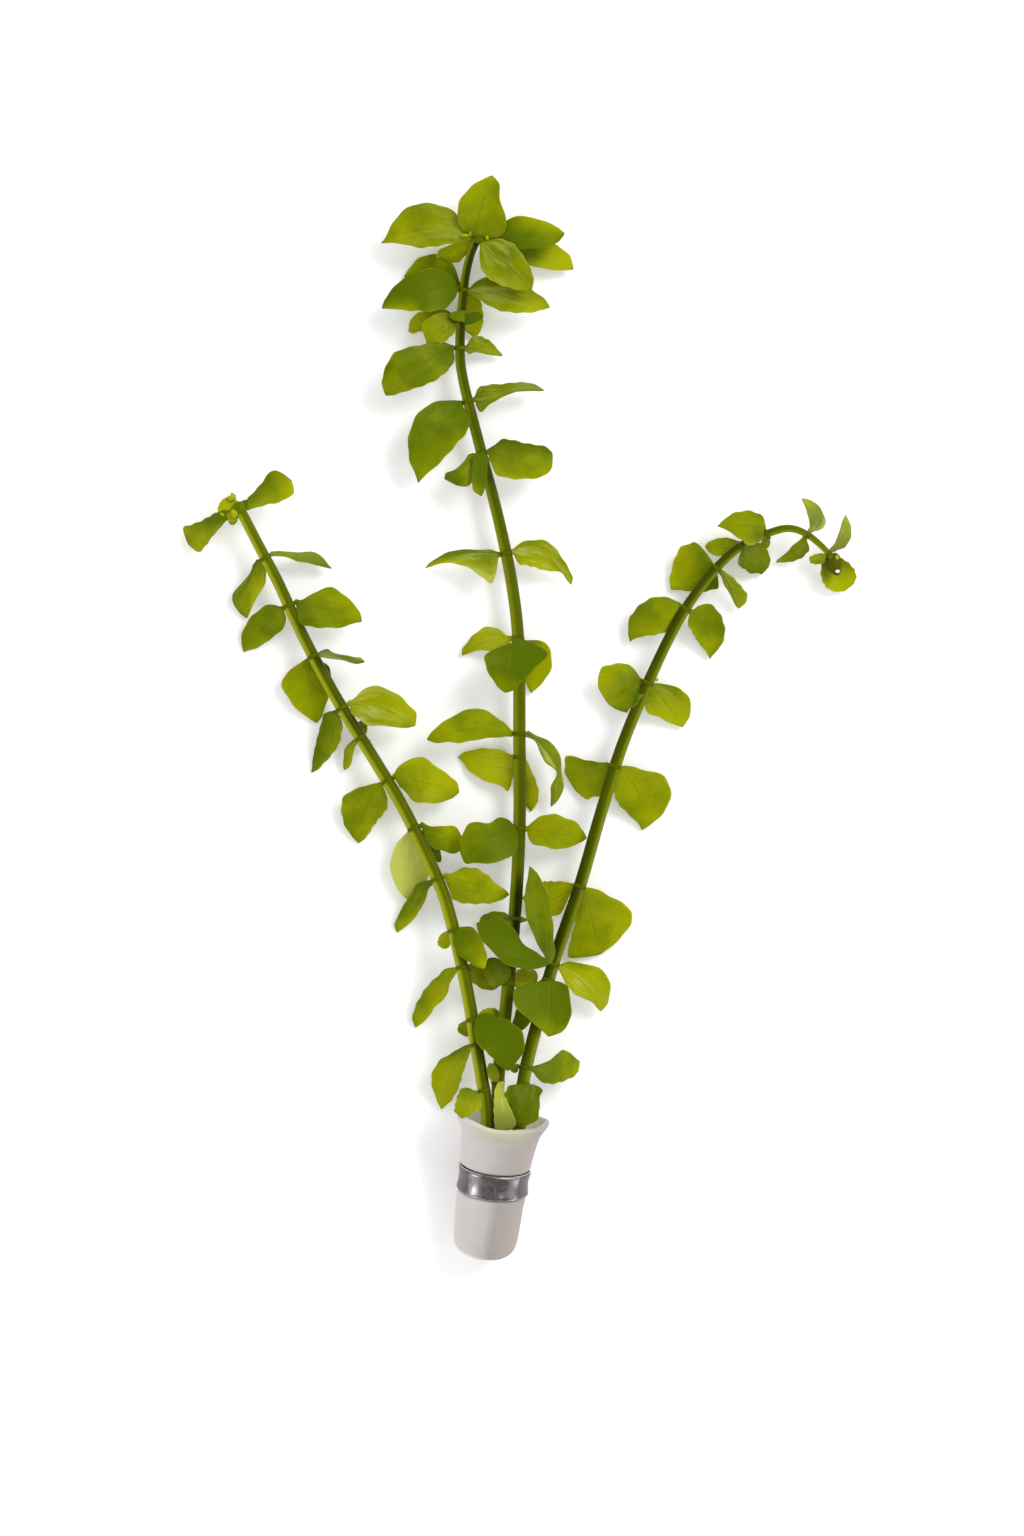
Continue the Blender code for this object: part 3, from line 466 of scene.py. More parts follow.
            leaf((5.8, -7.5, -6.0), (0.8, 1.4, 1.7, 1.7, 1.4, 0.8), (0.8, 1.4, 1.7, 1.7, 1.4, 0.8),
                layer=BEHIND, tone=(0.35, 0.35, 0.0), sheen=0.1),
        ]),
        (93.8, [
            leaf((15.7, -2.6, -2.2), (2.8, 4.7, 5.3, 4.0, 3.1, 2.1), (1.7, 3.0, 4.5, 4.1, 3.0, 1.7), arch=2,
                tone=(0.52, 0.79, -0.34), sheen=0.05),
            leaf((-6.5, -13.8, -5.9), (2.7, 4.1, 4.0, 3.2, 2.4, 1.4), (1.6, 3.6, 5.5, 4.8, 3.2, 1.3),
                bend=-1.1, tone=(0.37, 0.51, -0.16), sheen=0.03),
        ]),
        (104.8, [
            leaf((-3.7, -7.1, -4.9), (0.4, 0.5, 0.6, 0.8, 0.9, 0.5), (0.9, 1.4, 1.5, 1.2, 0.8, 0.5),
                tone=(0.68, 0.6, -0.6), sheen=0.19),
            leaf((1.6, -2.1, -3.9), (0.6, 1.0, 1.2, 1.3, 1.1, 0.7), (0.6, 1.0, 1.2, 1.3, 1.1, 0.7),
                layer=BEHIND, tone=(0.35, 0.35, 0.0), sheen=0.1),
            leaf((-0.1, 3.8, -3.9), (0.6, 1.0, 1.2, 1.3, 1.1, 0.7), (0.6, 1.0, 1.2, 1.3, 1.1, 0.7),
                layer=BEHIND, tone=(0.35, 0.35, 0.0), sheen=0.1),
        ]),
        (112.5, [
            leaf((16.0, -3.9, 0.9), (1.3, 3.9, 4.9, 4.5, 3.5, 2.5), (2.4, 3.5, 4.3, 3.1, 2.4, 1.2),
                bend=0.8, arch=2, fold=15, tone=(0.62, 0.68, -0.43), sheen=0.49),
            leaf((-7.0, -14.2, -5.7), (2.3, 3.2, 3.6, 3.0, 1.9, 1.1), (2.1, 2.0, 1.7, 1.3, 0.9, 0.3),
                fold=15, tone=(0.11, 0.26, -0.36), sheen=0.07),
        ]),
        (125.5, [
            leaf((11.4, -1.3, 1.5), (1.3, 0.9, 0.6, 0.7, 0.6, 0.9), (2.0, 2.2, 2.2, 1.8, 1.7, 0.7), arch=2,
                roll=50, tone=(-0.3, 0.37, -1.0), sheen=0.38),
            leaf((0.6, -14.6, -4.9), (4.0, 4.7, 4.2, 3.8, 2.7, 1.4), (2.0, 5.0, 6.2, 4.8, 3.1, 1.3),
                bend=-0.6, layer=BEHIND, tone=(0.4, 0.64, 0.1), sheen=0.02),
        ]),
        (137.8, [
            leaf((16.0, -3.6, 0.1), (0.6, 2.4, 4.7, 4.4, 3.1, 1.9), (3.7, 4.8, 4.6, 3.8, 2.5, 0.8),
                bend=0.3, arch=2, tone=(0.2, 0.47, -0.21), sheen=0.03),
            leaf((-10.1, -10.1, -5.5), (2.4, 3.1, 3.0, 2.3, 1.7, 0.5), (2.4, 3.4, 3.8, 3.7, 2.9, 1.6),
                tone=(0.21, 0.34, -0.19), sheen=0.05),
        ]),
        (149.4, [
            leaf((14.5, -2.2, -3.4), (0.7, 0.7, 1.0, 2.1, 1.9, 0.5), (0.6, 0.8, 1.8, 1.7, 1.2, 0.6),
                bend=0.8, roll=40, tone=(0.33, 0.32, -0.13), sheen=0.34),
            leaf((-4.3, -13.1, -5.4), (2.1, 2.6, 2.8, 1.7, 1.0, 0.4), (0.9, 1.0, 1.9, 3.7, 3.2, 1.8),
                bend=-0.4, tone=(0.37, 0.57, -0.79), sheen=0.19),
        ]),
        (161.0, [
            leaf((11.2, 6.5, 2.0), (1.4, 1.9, 2.5, 3.4, 4.0, 2.2), (0.9, 1.4, 2.0, 2.9, 2.9, 2.8), arch=1,
                tone=(0.3, 0.54, 0.49), sheen=0.1),
            leaf((-11.9, -7.0, -5.0), (0.3, 0.5, 1.2, 2.0, 2.8, 2.7), (1.5, 2.2, 2.4, 2.6, 3.2, 3.3),
                arch=1, tone=(0.05, 0.55, -0.27), sheen=0.11),
            leaf((-4.6, 1.8, -1.0), (1.0, 1.6, 1.9, 2.0, 1.8, 1.3), (1.0, 1.6, 1.9, 2.0, 1.8, 1.3),
                tone=(0.9, 1.1, 0.0), sheen=0.1),
            leaf((-2.6, -2.8, -4.0), (0.6, 0.9, 1.1, 1.1, 0.9, 0.6), (0.6, 0.9, 1.1, 1.1, 0.9, 0.6),
                tone=(0.6, 0.8, 0.0), sheen=0.1),
        ]),
    ],
    "right": [
        (23.9, [
            leaf((-0.4, -9.3, 1.8), (2.6, 2.5, 2.7, 3.1, 2.8, 1.1), (4.2, 5.1, 5.0, 3.8, 2.7, 1.9),
                layer=FRONT, tone=(-0.1, 0.15, -0.47), sheen=0.07),
        ]),
        (27.6, [
            leaf((11.8, 0.9, -7.4), (0.8, 1.0, 1.7, 3.1, 2.6, 0.9), (2.3, 3.5, 3.8, 3.6, 3.1, 2.2),
                tone=(0.12, 0.44, 0.09), sheen=0.06),
            leaf((-3.3, -0.8, -1.0), (0.5, 0.8, 1.0, 1.0, 0.8, 0.5), (0.5, 0.8, 1.0, 1.0, 0.8, 0.5),
                tone=(0.35, 0.35, 0.0), sheen=0.1),
        ]),
        (47.2, [
            leaf((0.0, -12.0, 4.5), (3.2, 3.9, 4.5, 4.6, 4.1, 2.6), (5.0, 8.2, 8.2, 6.8, 3.6, 1.2),
                layer=FRONT, tone=(-0.3, 0.31, 0.05), sheen=0.02),
            leaf((-7.4, -11.6, -4.5), (1.2, 1.8, 2.2, 2.2, 1.8, 1.2), (1.2, 1.8, 2.2, 2.2, 1.8, 1.2),
                layer=BEHIND, tone=(0.35, 0.35, 0.0), sheen=0.1),
        ]),
        (50.8, [
            leaf((-5.1, 21.5, 3.4), (0.6, 1.5, 2.4, 2.7, 1.8, 0.7), (1.7, 2.2, 2.7, 2.8, 2.4, 1.3), arch=2,
                layer=FRONT, tone=(0.07, 0.37, -0.02), sheen=0.12),
            leaf((-16.6, 9.2, 5.0), (2.0, 3.4, 4.7, 4.1, 3.1, 1.6), (0.4, 0.9, 1.1, 3.2, 3.4, 1.5), arch=2,
                layer=FRONT, tone=(-0.3, -0.3, 0.1), sheen=0.04),
            leaf((10.6, -10.6, -6.4), (2.1, 2.9, 4.7, 5.1, 3.7, 2.1), (1.5, 2.5, 3.0, 2.4, 1.0, 0.5),
                bend=1.2, arch=1, tone=(0.84, 1.5, 1.0), sheen=0.56),
        ]),
        (68.8, [
            leaf((-12.6, -2.6, -5.8), (0.4, 1.2, 3.4, 3.5, 1.9, 0.8), (2.2, 3.4, 4.1, 4.2, 3.0, 1.5),
                bend=1.9, layer=BEHIND, tone=(1.25, 1.02, -1.0), sheen=0.1),
            leaf((4.6, -15.1, -7.0), (3.2, 5.5, 8.4, 8.8, 6.2, 3.1), (0.6, 1.8, 3.3, 4.9, 6.3, 6.6),
                layer=BEHIND, tone=(0.52, 0.68, -0.54), sheen=0.04),
        ]),
        (96.2, [
            leaf((-8.7, -5.2, -5.4), (2.7, 3.2, 3.9, 4.4, 3.6, 3.0), (1.1, 2.4, 4.4, 7.1, 5.7, 4.1),
                tone=(0.4, 0.64, -0.19), sheen=0.03),
            leaf((6.0, -14.0, -5.8), (1.9, 3.6, 7.0, 7.0, 4.7, 2.0), (2.9, 4.4, 4.8, 4.3, 2.7, 0.8),
                bend=1.8, layer=BEHIND, tone=(0.52, 0.55, -0.12), sheen=0.03),
        ]),
        (115.8, [
            leaf((-8.6, -4.6, -2.6), (2.7, 3.2, 3.8, 4.1, 3.7, 1.8), (4.1, 5.5, 6.7, 7.2, 5.6, 4.0), arch=2,
                tone=(0.11, 0.68, 0.7), sheen=0.08),
            leaf((7.8, -9.6, -4.8), (1.8, 3.2, 4.7, 4.9, 4.1, 2.4), (2.9, 4.1, 4.2, 2.8, 1.8, 0.8),
                layer=BEHIND, tone=(0.38, 0.95, 0.32), sheen=0.18),
        ]),
        (134.1, [
            leaf((-12.0, -7.2, -4.0), (2.7, 3.7, 4.2, 3.4, 1.7, 0.4), (1.6, 3.2, 4.0, 3.9, 3.1, 1.4),
                bend=-1.1, arch=1, tone=(0.5, 0.45, -0.44), sheen=0.03),
            leaf((5.5, -11.0, -5.0), (3.6, 4.4, 4.4, 3.7, 2.4, 0.7), (2.3, 2.8, 2.9, 2.5, 1.6, 0.5),
                bend=1.4, tone=(0.44, 0.53, 0.3), sheen=0.02),
        ]),
        (145.3, [
            leaf((-9.8, -4.6, -5.2), (4.2, 4.4, 4.0, 2.8, 1.5, 0.5), (5.9, 7.0, 7.2, 5.9, 4.0, 2.4),
                layer=BEHIND, tone=(0.2, 0.8, 0.48), sheen=0.02),
            leaf((5.0, -8.8, -4.2), (1.1, 1.9, 2.6, 3.2, 3.1, 1.9), (0.3, 0.7, 0.7, 0.5, 0.4, 0.3),
                roll=-20, tone=(0.36, 0.55, -0.33), sheen=0.37),
        ]),
        (152.4, [
            leaf((-7.7, 0.2, -3.8), (1.2, 2.1, 2.5, 2.5, 2.1, 1.2), (0.7, 1.2, 1.5, 1.5, 1.2, 0.7),
                layer=BEHIND, tone=(0.6, 0.85, 0.0), sheen=0.1),
            leaf((6.4, -4.3, -5.8), (2.2, 2.8, 3.1, 3.0, 2.2, 1.6), (3.2, 3.5, 3.6, 3.5, 2.7, 2.2),
                layer=BEHIND, tone=(0.2, 0.19, -0.21), sheen=0.14),
        ]),
        (158.7, [
            leaf((-10.9, 1.6, 0.4), (2.9, 3.7, 3.5, 2.4, 1.0, 0.3), (2.3, 3.1, 3.4, 3.0, 2.1, 0.9), arch=2,
                tone=(0.31, 0.65, -0.04), sheen=0.03),
            leaf((-0.6, -3.3, -4.6), (0.4, 0.7, 0.9, 0.9, 0.7, 0.4), (0.5, 0.9, 1.1, 1.1, 0.9, 0.5),
                tone=(0.35, 0.35, 0.0), sheen=0.1),
        ]),
        (168.1, [
            leaf((-1.6, 7.8, 4.2), (0.2, 0.5, 0.6, 0.6, 0.4, 0.3), (2.4, 3.0, 2.9, 2.3, 1.6, 0.6),
                bend=-0.7, arch=1, tone=(-0.09, 0.75, -0.15), sheen=0.77),
            leaf((-6.6, -5.8, -6.8), (2.3, 2.8, 2.7, 2.2, 1.4, 0.5), (0.4, 0.6, 0.6, 0.3, 0.3, 0.3),
                tone=(0.27, 0.56, 0.33), sheen=0.16),
        ]),
        (174.4, [
            leaf((3.9, -8.0, -5.4), (1.3, 2.4, 3.4, 3.9, 3.6, 2.6), (1.3, 2.5, 3.4, 3.5, 2.9, 1.5),
                layer=BEHIND, tone=(0.1, 1.0, 0.0), sheen=0.05, cup=0.2),
            leaf((3.4, 8.2, 3.6), (0.2, 0.2, 0.2, 0.2, 0.3, 0.2), (1.1, 2.3, 2.6, 2.5, 1.7, 0.8), arch=1,
                tone=(0.05, 0.47, 0.0), sheen=0.77),
            leaf((-4.2, -0.9, -2.4), (1.5, 1.6, 1.7, 1.6, 1.4, 1.2), (0.4, 0.7, 0.7, 0.6, 0.4, 0.3),
                tone=(0.78, 0.89, 1.0), sheen=0.21),
        ]),
    ],
}
for key, rows in LEAVES.items():
    print(key, "stem:", len(rows), "nodes,", sum(len(leaves) for _, leaves in rows), "leaves")

# %% [markdown]
# A leaf may not run through a stem, and none lies below the table. So each point of a leaf is
# moved a little where that is needed: out from its own stem, or up over or down under
# whatever stem it crosses, and softly up from the table.

# %% Keep a leaf clear of the stems and of the table
LEAF_THICKNESS = 0.46
LEAF_BASE_HALF_WIDTH = 0.75
LEAF_CLEARANCE = 0.3
LEAVE_OUTWARD = 0.15
STEM_GAP = 0.3
RING_WALL = 0.3
STEM_BERTH = 2.2
BERTH_SLOPE = 1.2
SETTLE_SOFTNESS = 0.8


def clear_of_stems(points, own_stem, layer, firmness):
    """The points kept over, under or beside the stems, and above the surface."""
    points = points.copy()
    if layer == BESIDE:
        near, gap = own_stem.nearest(points)
        keep = own_stem.radii[near] + LEAF_CLEARANCE
        centre = own_stem.curve[near]
        push = np.where(gap < keep, keep / np.maximum(gap, 1e-6), 1.0)
        points = centre + (points - centre) * push[:, None]
    else:
        for stem in STEMS.values():
            near, gap = stem.nearest(points, axes=2)
            berth = stem.radii[near] + LEAF_CLEARANCE
            berth -= BERTH_SLOPE * np.maximum(0.0, gap - STEM_BERTH)
            short = layer * (stem.curve[near][:, 2] + layer * berth - points[:, 2])
            points[:, 2] += layer * np.maximum(short, 0.0) * firmness
    floor_height = LEAF_THICKNESS / 2 - SETTLE_SOFTNESS / 2
    above = points[:, 2] - floor_height
    settled = floor_height + (above + np.hypot(above, SETTLE_SOFTNESS)) / 2
    points[:, 2] = np.maximum(settled, LEAF_THICKNESS / 2)
    return points


# %% The midrib and the outline of a leaf
def midrib(stem, distance, blade):
    """The four control points of the midrib, from beside the stem to the tip."""
    middle, tangent = stem.at(distance)
    side, up = frame_about(tangent)
    out = blade["tip"] - tangent * blade["tip"].dot(tangent)
    out = unit(unit(out) + up * 1.2 * blade["layer"])
    start = middle + out * (stem.radius(distance) + STEM_GAP + RING_WALL / 2)
    end = middle + blade["tip"]
    chord = end - start
    along = unit(chord)
    left = -frame_about(along)[0]
    leave = unit(out * LEAVE_OUTWARD + along) * np.linalg.norm(chord) / 3
    bow = (left * blade["bend"] + UP * blade["arch"]) * 4 / 3
    return start, start + leave + bow, end - chord / 3 + bow, end


def half_width(blade, side, share):
    """The distance from the midrib to one edge, at a share of the leaf's length."""
    edge = blade["edges"][side]
    grown = np.interp(math.acos(1 - 2 * share), edge[:, 0], edge[:, 1])
    grown *= min(1.0, (1 - share) / 0.08) ** blade["point"]
    base = LEAF_BASE_HALF_WIDTH * max(0.0, 1 - 4 * share)
    return (max(grown, 0.0) ** 4 + base**4) ** 0.25


# %% The mesh of one leaf
LEAF_ROWS = 40
EDGE_WOBBLE = 0.12
LEAF_POINTS = 18
RIM_THICKNESS = 0.16
CREASE_RADIUS = 0.35
BASE_ROWS = (0.55, 0.8)


def leaf_row(stem, distance, blade, share, across, waves):
    """One row of points from edge to edge of a leaf's middle sheet, and the way up there."""
    a, b, c, d = midrib(stem, distance, blade)
    left = 1 - share
    point = a * left**3 + 3 * b * left**2 * share + 3 * c * left * share**2 + d * share**3
    tangent = (b - a) * left**2 + 2 * (c - b) * left * share + (d - c) * share**2
    side, up = frame_about(unit(tangent), unit(d - a))
    turn = blade["roll"] + blade["twist"] * share
    side, up = (
        side * math.cos(turn) + up * math.sin(turn),
        up * math.cos(turn) - side * math.sin(turn),
    )
    phase, turns = waves
    halves = [half_width(blade, side, share) for side in (0, 1)]
    wobble = [EDGE_WOBBLE * math.sin(math.tau * (3.1 * turns * share + n * phase)) for n in (3, 5)]
    halves = [half + shift * min(1.0, half / 3) for half, shift in zip(halves, wobble)]
    grown = np.where(across > 0, halves[1], halves[0])
    reach = np.abs(across) * grown
    crease = np.hypot(reach, CREASE_RADIUS) - CREASE_RADIUS
    lift = crease * math.sin(blade["fold"]) + blade["cup"] * across**2 * grown
    ripple = np.sin(math.tau * (turns * share + phase + 0.2 * np.sign(across)))
    lift += blade["wave"] * ripple * across**2 * math.sin(math.pi * share) ** 0.5
    sideways = np.sign(across) * reach * math.cos(blade["fold"])
    points = point + side * sideways[:, None] + up * lift[:, None]
    firmness = min(1.0, share / 0.12)
    return clear_of_stems(points, stem, blade["layer"], firmness), up


def leaf_surface(stem, distance, blade, waves):
    """Closed loops of points round a leaf from inside the stem to its tip, with each point's
    place across and along the leaf."""
    across = -np.cos(np.linspace(0, math.pi, LEAF_POINTS))
    shares = (1 - np.cos(np.linspace(0, math.pi, LEAF_ROWS))) / 2
    profile = np.sqrt(1 - across**2)
    middle, _ = stem.at(distance)
    loops = []
    for share in shares[:-1]:
        sheet, up = leaf_row(stem, distance, blade, share, across, waves)
        slim = min(1.0, (1 - share) / 0.06) ** 0.5
        half = RIM_THICKNESS + (LEAF_THICKNESS - RIM_THICKNESS) * (1 - np.abs(across))
        half = half * profile * slim / 2
        top = sheet + up * half[:, None]
        under = sheet - up * half[:, None]
        loops.append((share, np.vstack([top, under[-2:0:-1]])))
    first = loops[0][1]
    rooted = [(0.0, middle + (first - middle) * scale) for scale in BASE_ROWS]
    around = np.concatenate([across, across[-2:0:-1]])
    tip, _ = leaf_row(stem, distance, blade, 1.0, np.array([0.0]), waves)
    return rooted + loops, around, tip[0]


print("rows and points in a leaf:", LEAF_ROWS, 2 * LEAF_POINTS - 2)

# %% Join the leaves of one stem node into one piece
SEED = 7
random = np.random.RandomState(SEED)


def mesh_piece(name, verts, faces, attributes):
    """A mesh object from points in millimetres, faces outward, with one number per point for
    each attribute. What touches the table is pressed flat on it."""
    mesh = bpy.data.meshes.new(name)
    points = np.array(verts) + ORIGIN_SHIFT
    points[:, 2] = np.maximum(points[:, 2], 0.01)
    mesh.from_pydata((points * MM).tolist(), [], faces)
    for word, values in attributes.items():
        layer = mesh.attributes.new(word, "FLOAT", "POINT")
        layer.data.foreach_set("value", np.array(values, np.float32))
    work = bmesh.new()
    work.from_mesh(mesh)
    bmesh.ops.recalc_face_normals(work, faces=work.faces)
    work.to_mesh(mesh)
    work.free()
    mesh.shade_smooth()
    made = bpy.data.objects.new(name, mesh)
    bpy.context.scene.collection.objects.link(made)
    return made


def tube_faces(rows, size, first=0):
    """Faces between loops of equal size that follow each other in a list of points."""
    faces = []
    for i in range(rows - 1):
        for k in range(size):
            n = (k + 1) % size
            low = first + i * size
            faces.append((low + k, low + n, low + size + n, low + size + k))
    return faces


def bud_points(middle, size):
    """A small egg: rings of points from bottom to top."""
    rings = []
    for lift in np.linspace(-math.pi / 2 + 0.15, math.pi / 2 - 0.15, 9):
        turns = np.arange(14) * math.tau / 14
        ring = [np.cos(turns) * math.cos(lift), np.sin(turns) * math.cos(lift), turns * 0 + math.sin(lift)]
        rings.append(middle + np.array(ring).T * size)
    return rings


def leaf_pair(name, stem, distance, blades, buds):
    """All the leaves of one node as one mesh, each with its own tone, sheen and seed, and the
    small buds that sit in their axils, with a few painted glints and painted shade among them."""
    verts, faces = [], []
    data = {"across": [], "along": [], "tone": [], "sheen": [], "seed": []}
    for blade in blades:
        waves = random.uniform(0, 1), random.uniform(0.8, 1.9)
        seed = random.uniform(0, 50)
        loops, around, tip = leaf_surface(stem, distance, blade, waves)
        size, low = len(around), len(verts)
        for share, loop in loops:
            verts += list(loop)
            data["across"] += list(around)
            data["along"] += [share] * size
            # Painted light and shade: the tone runs from base to tip, and its third number paints one half of the
            # leaf darker than the other.
            level = np.interp(share, (0.15, 0.85), blade["tone"][:2])
            data["tone"] += list(level + blade["tone"][2] * around / 2)
        verts.append(tip)
        data["across"].append(0.0)
        data["along"].append(1.0)
        data["tone"].append(blade["tone"][1])
        count = len(loops) * size + 1
        for word, value in (("sheen", blade["sheen"]), ("seed", seed)):
            data[word] += [value] * count
        faces += tube_faces(len(loops), size, low)
        last = low + (len(loops) - 1) * size
        faces.append(tuple(low + k for k in range(size))[::-1])
        faces += [(last + k, last + (k + 1) % size, last + size) for k in range(size)]
    for place, size, tone, sheen, share in buds:
        rings, low = bud_points(stem.at(distance)[0] + np.array(place), np.array(size)), len(verts)
        verts += [point for ring in rings for point in ring]
        count = len(rings) * 14
        for word, value in zip(data, (0.5, share, tone, sheen, 1.0)):
            data[word] += [value] * count
        faces += tube_faces(len(rings), 14, low)
        faces += [tuple(range(low, low + 14))[::-1], tuple(range(low + count - 14, low + count))]
    return mesh_piece(name, verts, faces, data)


# Buds, with a few painted marks: place from the stem's middle, half sizes, tone, sheen, and place along (1 is
# brown). A sheen above 1.2 paints a white glint.
BUDS_AND_PAINTED_SPOTS = {
    "middle_leaves_14": [
        ((-2.8, 0.5, 1.9), (0.9, 0.4, 0.4), 1.1, 0.1, 0.5), ((2.0, 0.0, 2.1), (0.4, 0.6, 0.5), 1.0, 0.1, 0.5),
        ((-1.7, 0.9, 1.9), (0.35, 0.7, 0.4), 0.6, 0.2, 0.5), ((0.2, -0.4, 1.3), (1.2, 0.9, 0.6), 0.0, 0.0, 0.5),
    ],
    "middle_leaves_12": [((0.9, 0.7, 1.75), (3.6, 1.35, 0.4), 0.2, 0.1, 0.5)],
    "left_leaves_14": [
        ((-0.2, 0.5, 0.2), (1.6, 1.6, 1.3), 0.15, 0.0, 0.5), ((1.2, 1.5, 0.0), (1.3, 0.9, 0.5), 0.1, 0.0, 0.5),
        ((-1.3, -0.6, 0.5), (0.9, 1.0, 0.9), 0.9, 0.2, 0.5), ((-2.6, 0.7, -1.3), (2.4, 2.4, 0.9), 0.8, 0.1, 0.5),
        ((-2.0, -1.0, -1.0), (1.6, 1.4, 0.8), 0.6, 0.0, 0.5), ((-2.0, 3.0, -0.3), (1.0, 0.95, 0.9), 1.4, 0.3, 0.5),
        # painted glint: a tiny white egg
        ((-2.5, 3.5, 0.4), (0.3, 0.4, 0.3), 1.4, 2.0, 0.5),
    ],
    "right_leaves_07": [((1.9, 0.7, 0.9), (0.45, 0.4, 0.4), 1.2, 0.2, 0.5)],
    "right_leaves_10": [((2.0, 1.0, 1.3), (1.5, 0.9, 0.35), 1.0, 0.85, 0.5)],
    "right_leaves_13": [
        # painted shade: two dark brown eggs in the hollow of the tip's cup
        ((1.3, -2.2, -0.3), (1.6, 2.4, 0.8), -0.5, 0.0, 0.99), ((1.7, -3.9, -0.2), (1.0, 1.0, 0.75), -0.5, 0.0, 1.0),
        # painted glint: a tiny white egg, then a small bud
        ((1.85, -3.95, 0.45), (0.5, 0.38, 0.3), 1.0, 2.0, 0.5), ((1.75, -0.9, 0.5), (0.5, 0.55, 0.5), 1.3, 0.1, 0.5),
    ],
}


leaf_pieces = {}
for key, rows in LEAVES.items():
    for i, (distance, blades) in enumerate(rows, 1):
        node = f"{key}_leaves_{i:02d}"
        leaf_pieces[node] = leaf_pair(node + "_fine", STEMS[key], distance, blades, BUDS_AND_PAINTED_SPOTS.get(node, []))
print("leaf pieces:", len(leaf_pieces))
print("faces in them:", sum(len(piece.data.polygons) for piece in leaf_pieces.values()))

# %% [markdown]
# ## The stems as a Geometry Nodes tree
#
# A stem is one profile carried along a path, with a low knuckle where each pair of leaves
# clasps it. That is a rule, so a node tree makes it: the centre line comes in as a chain of
# points that carry their girth and their nearness to a node, and the tree sweeps a softly
# ribbed circle along it and sets a knuckle on each node. The tree is built once, and each
# stem gives it its own sizes.

# %% Helpers for building node trees
def add_node(tree, kind, **settings):
    made = tree.nodes.new(kind)
    for word, value in settings.items():
        setattr(made, word, value)
    return made


def feed(tree, socket, value):
    """Gives an input a plain value, or wires it to another node's output."""
    if isinstance(value, bpy.types.NodeSocket):
        tree.links.new(value, socket)
    else:
        socket.default_value = value


def tree_input(tree, name, kind, value=None):
    made = tree.interface.new_socket(name=name, in_out="INPUT", socket_type=kind)
    if value is not None:
        made.default_value = value
    return made


def sum_node(tree, operation, first, second=0.0, third=None):
    """A Math node whose inputs are sockets or plain numbers."""
    made = add_node(tree, "ShaderNodeMath", operation=operation)
    feed(tree, made.inputs[0], first)
    if len(made.inputs) > 1:
        feed(tree, made.inputs[1], second)
    if third is not None:
        feed(tree, made.inputs[2], third)
    return made.outputs[0]


def store(tree, geometry, name, value):
    """Keeps a number on every point of the geometry under a name."""
    made = add_node(tree, "GeometryNodeStoreNamedAttribute", data_type="FLOAT", domain="POINT")
    feed(tree, made.inputs["Geometry"], geometry)
    feed(tree, made.inputs["Name"], name)
    feed(tree, made.inputs["Value"], value)
    return made.outputs[0]


def stored(tree, name, kind="FLOAT"):
    made = add_node(tree, "GeometryNodeInputNamedAttribute", data_type=kind)
    feed(tree, made.inputs["Name"], name)
    return made.outputs["Attribute"]


# %% Sweep a ribbed profile along the centre line
def swept_stem(tree, given):
    """The stem itself: a circle with shallow ribs, as wide as the girth of each point."""
    path = add_node(tree, "GeometryNodeMeshToCurve")
    feed(tree, path.inputs["Mesh"], given["Centre line"])
    upright = add_node(tree, "GeometryNodeSetCurveNormal", mode="Z_UP")
    feed(tree, upright.inputs["Curve"], path.outputs["Curve"])
    circle = add_node(tree, "GeometryNodeCurvePrimitiveCircle")
    feed(tree, circle.inputs["Resolution"], given["Sides"])
    feed(tree, circle.inputs["Radius"], 1.0)
    index = add_node(tree, "GeometryNodeInputIndex").outputs[0]
    around = sum_node(tree, "DIVIDE", index, given["Sides"])
    marked = store(tree, circle.outputs["Curve"], "around", around)
    turn = sum_node(tree, "MULTIPLY", stored(tree, "around"), math.tau)
    wave = sum_node(tree, "COSINE", sum_node(tree, "MULTIPLY", turn, given["Ribs"]))
    marked = store(tree, marked, "rib", wave)
    marked = store(tree, marked, "flank", sum_node(tree, "COSINE", turn))
    size = sum_node(tree, "MULTIPLY_ADD", wave, given["Rib depth"], 1.0)
    ribbed = add_node(tree, "ShaderNodeVectorMath", operation="SCALE")
    feed(tree, ribbed.inputs[0], add_node(tree, "GeometryNodeInputPosition").outputs[0])
    feed(tree, ribbed.inputs["Scale"], size)
    profile = add_node(tree, "GeometryNodeSetPosition")
    feed(tree, profile.inputs["Geometry"], marked)
    feed(tree, profile.inputs["Position"], ribbed.outputs[0])
    sweep = add_node(tree, "GeometryNodeCurveToMesh")
    feed(tree, sweep.inputs["Curve"], upright.outputs["Curve"])
    feed(tree, sweep.inputs["Profile Curve"], profile.outputs["Geometry"])
    feed(tree, sweep.inputs["Scale"], stored(tree, "girth"))
    feed(tree, sweep.inputs["Fill Caps"], True)
    return sweep.outputs["Mesh"]


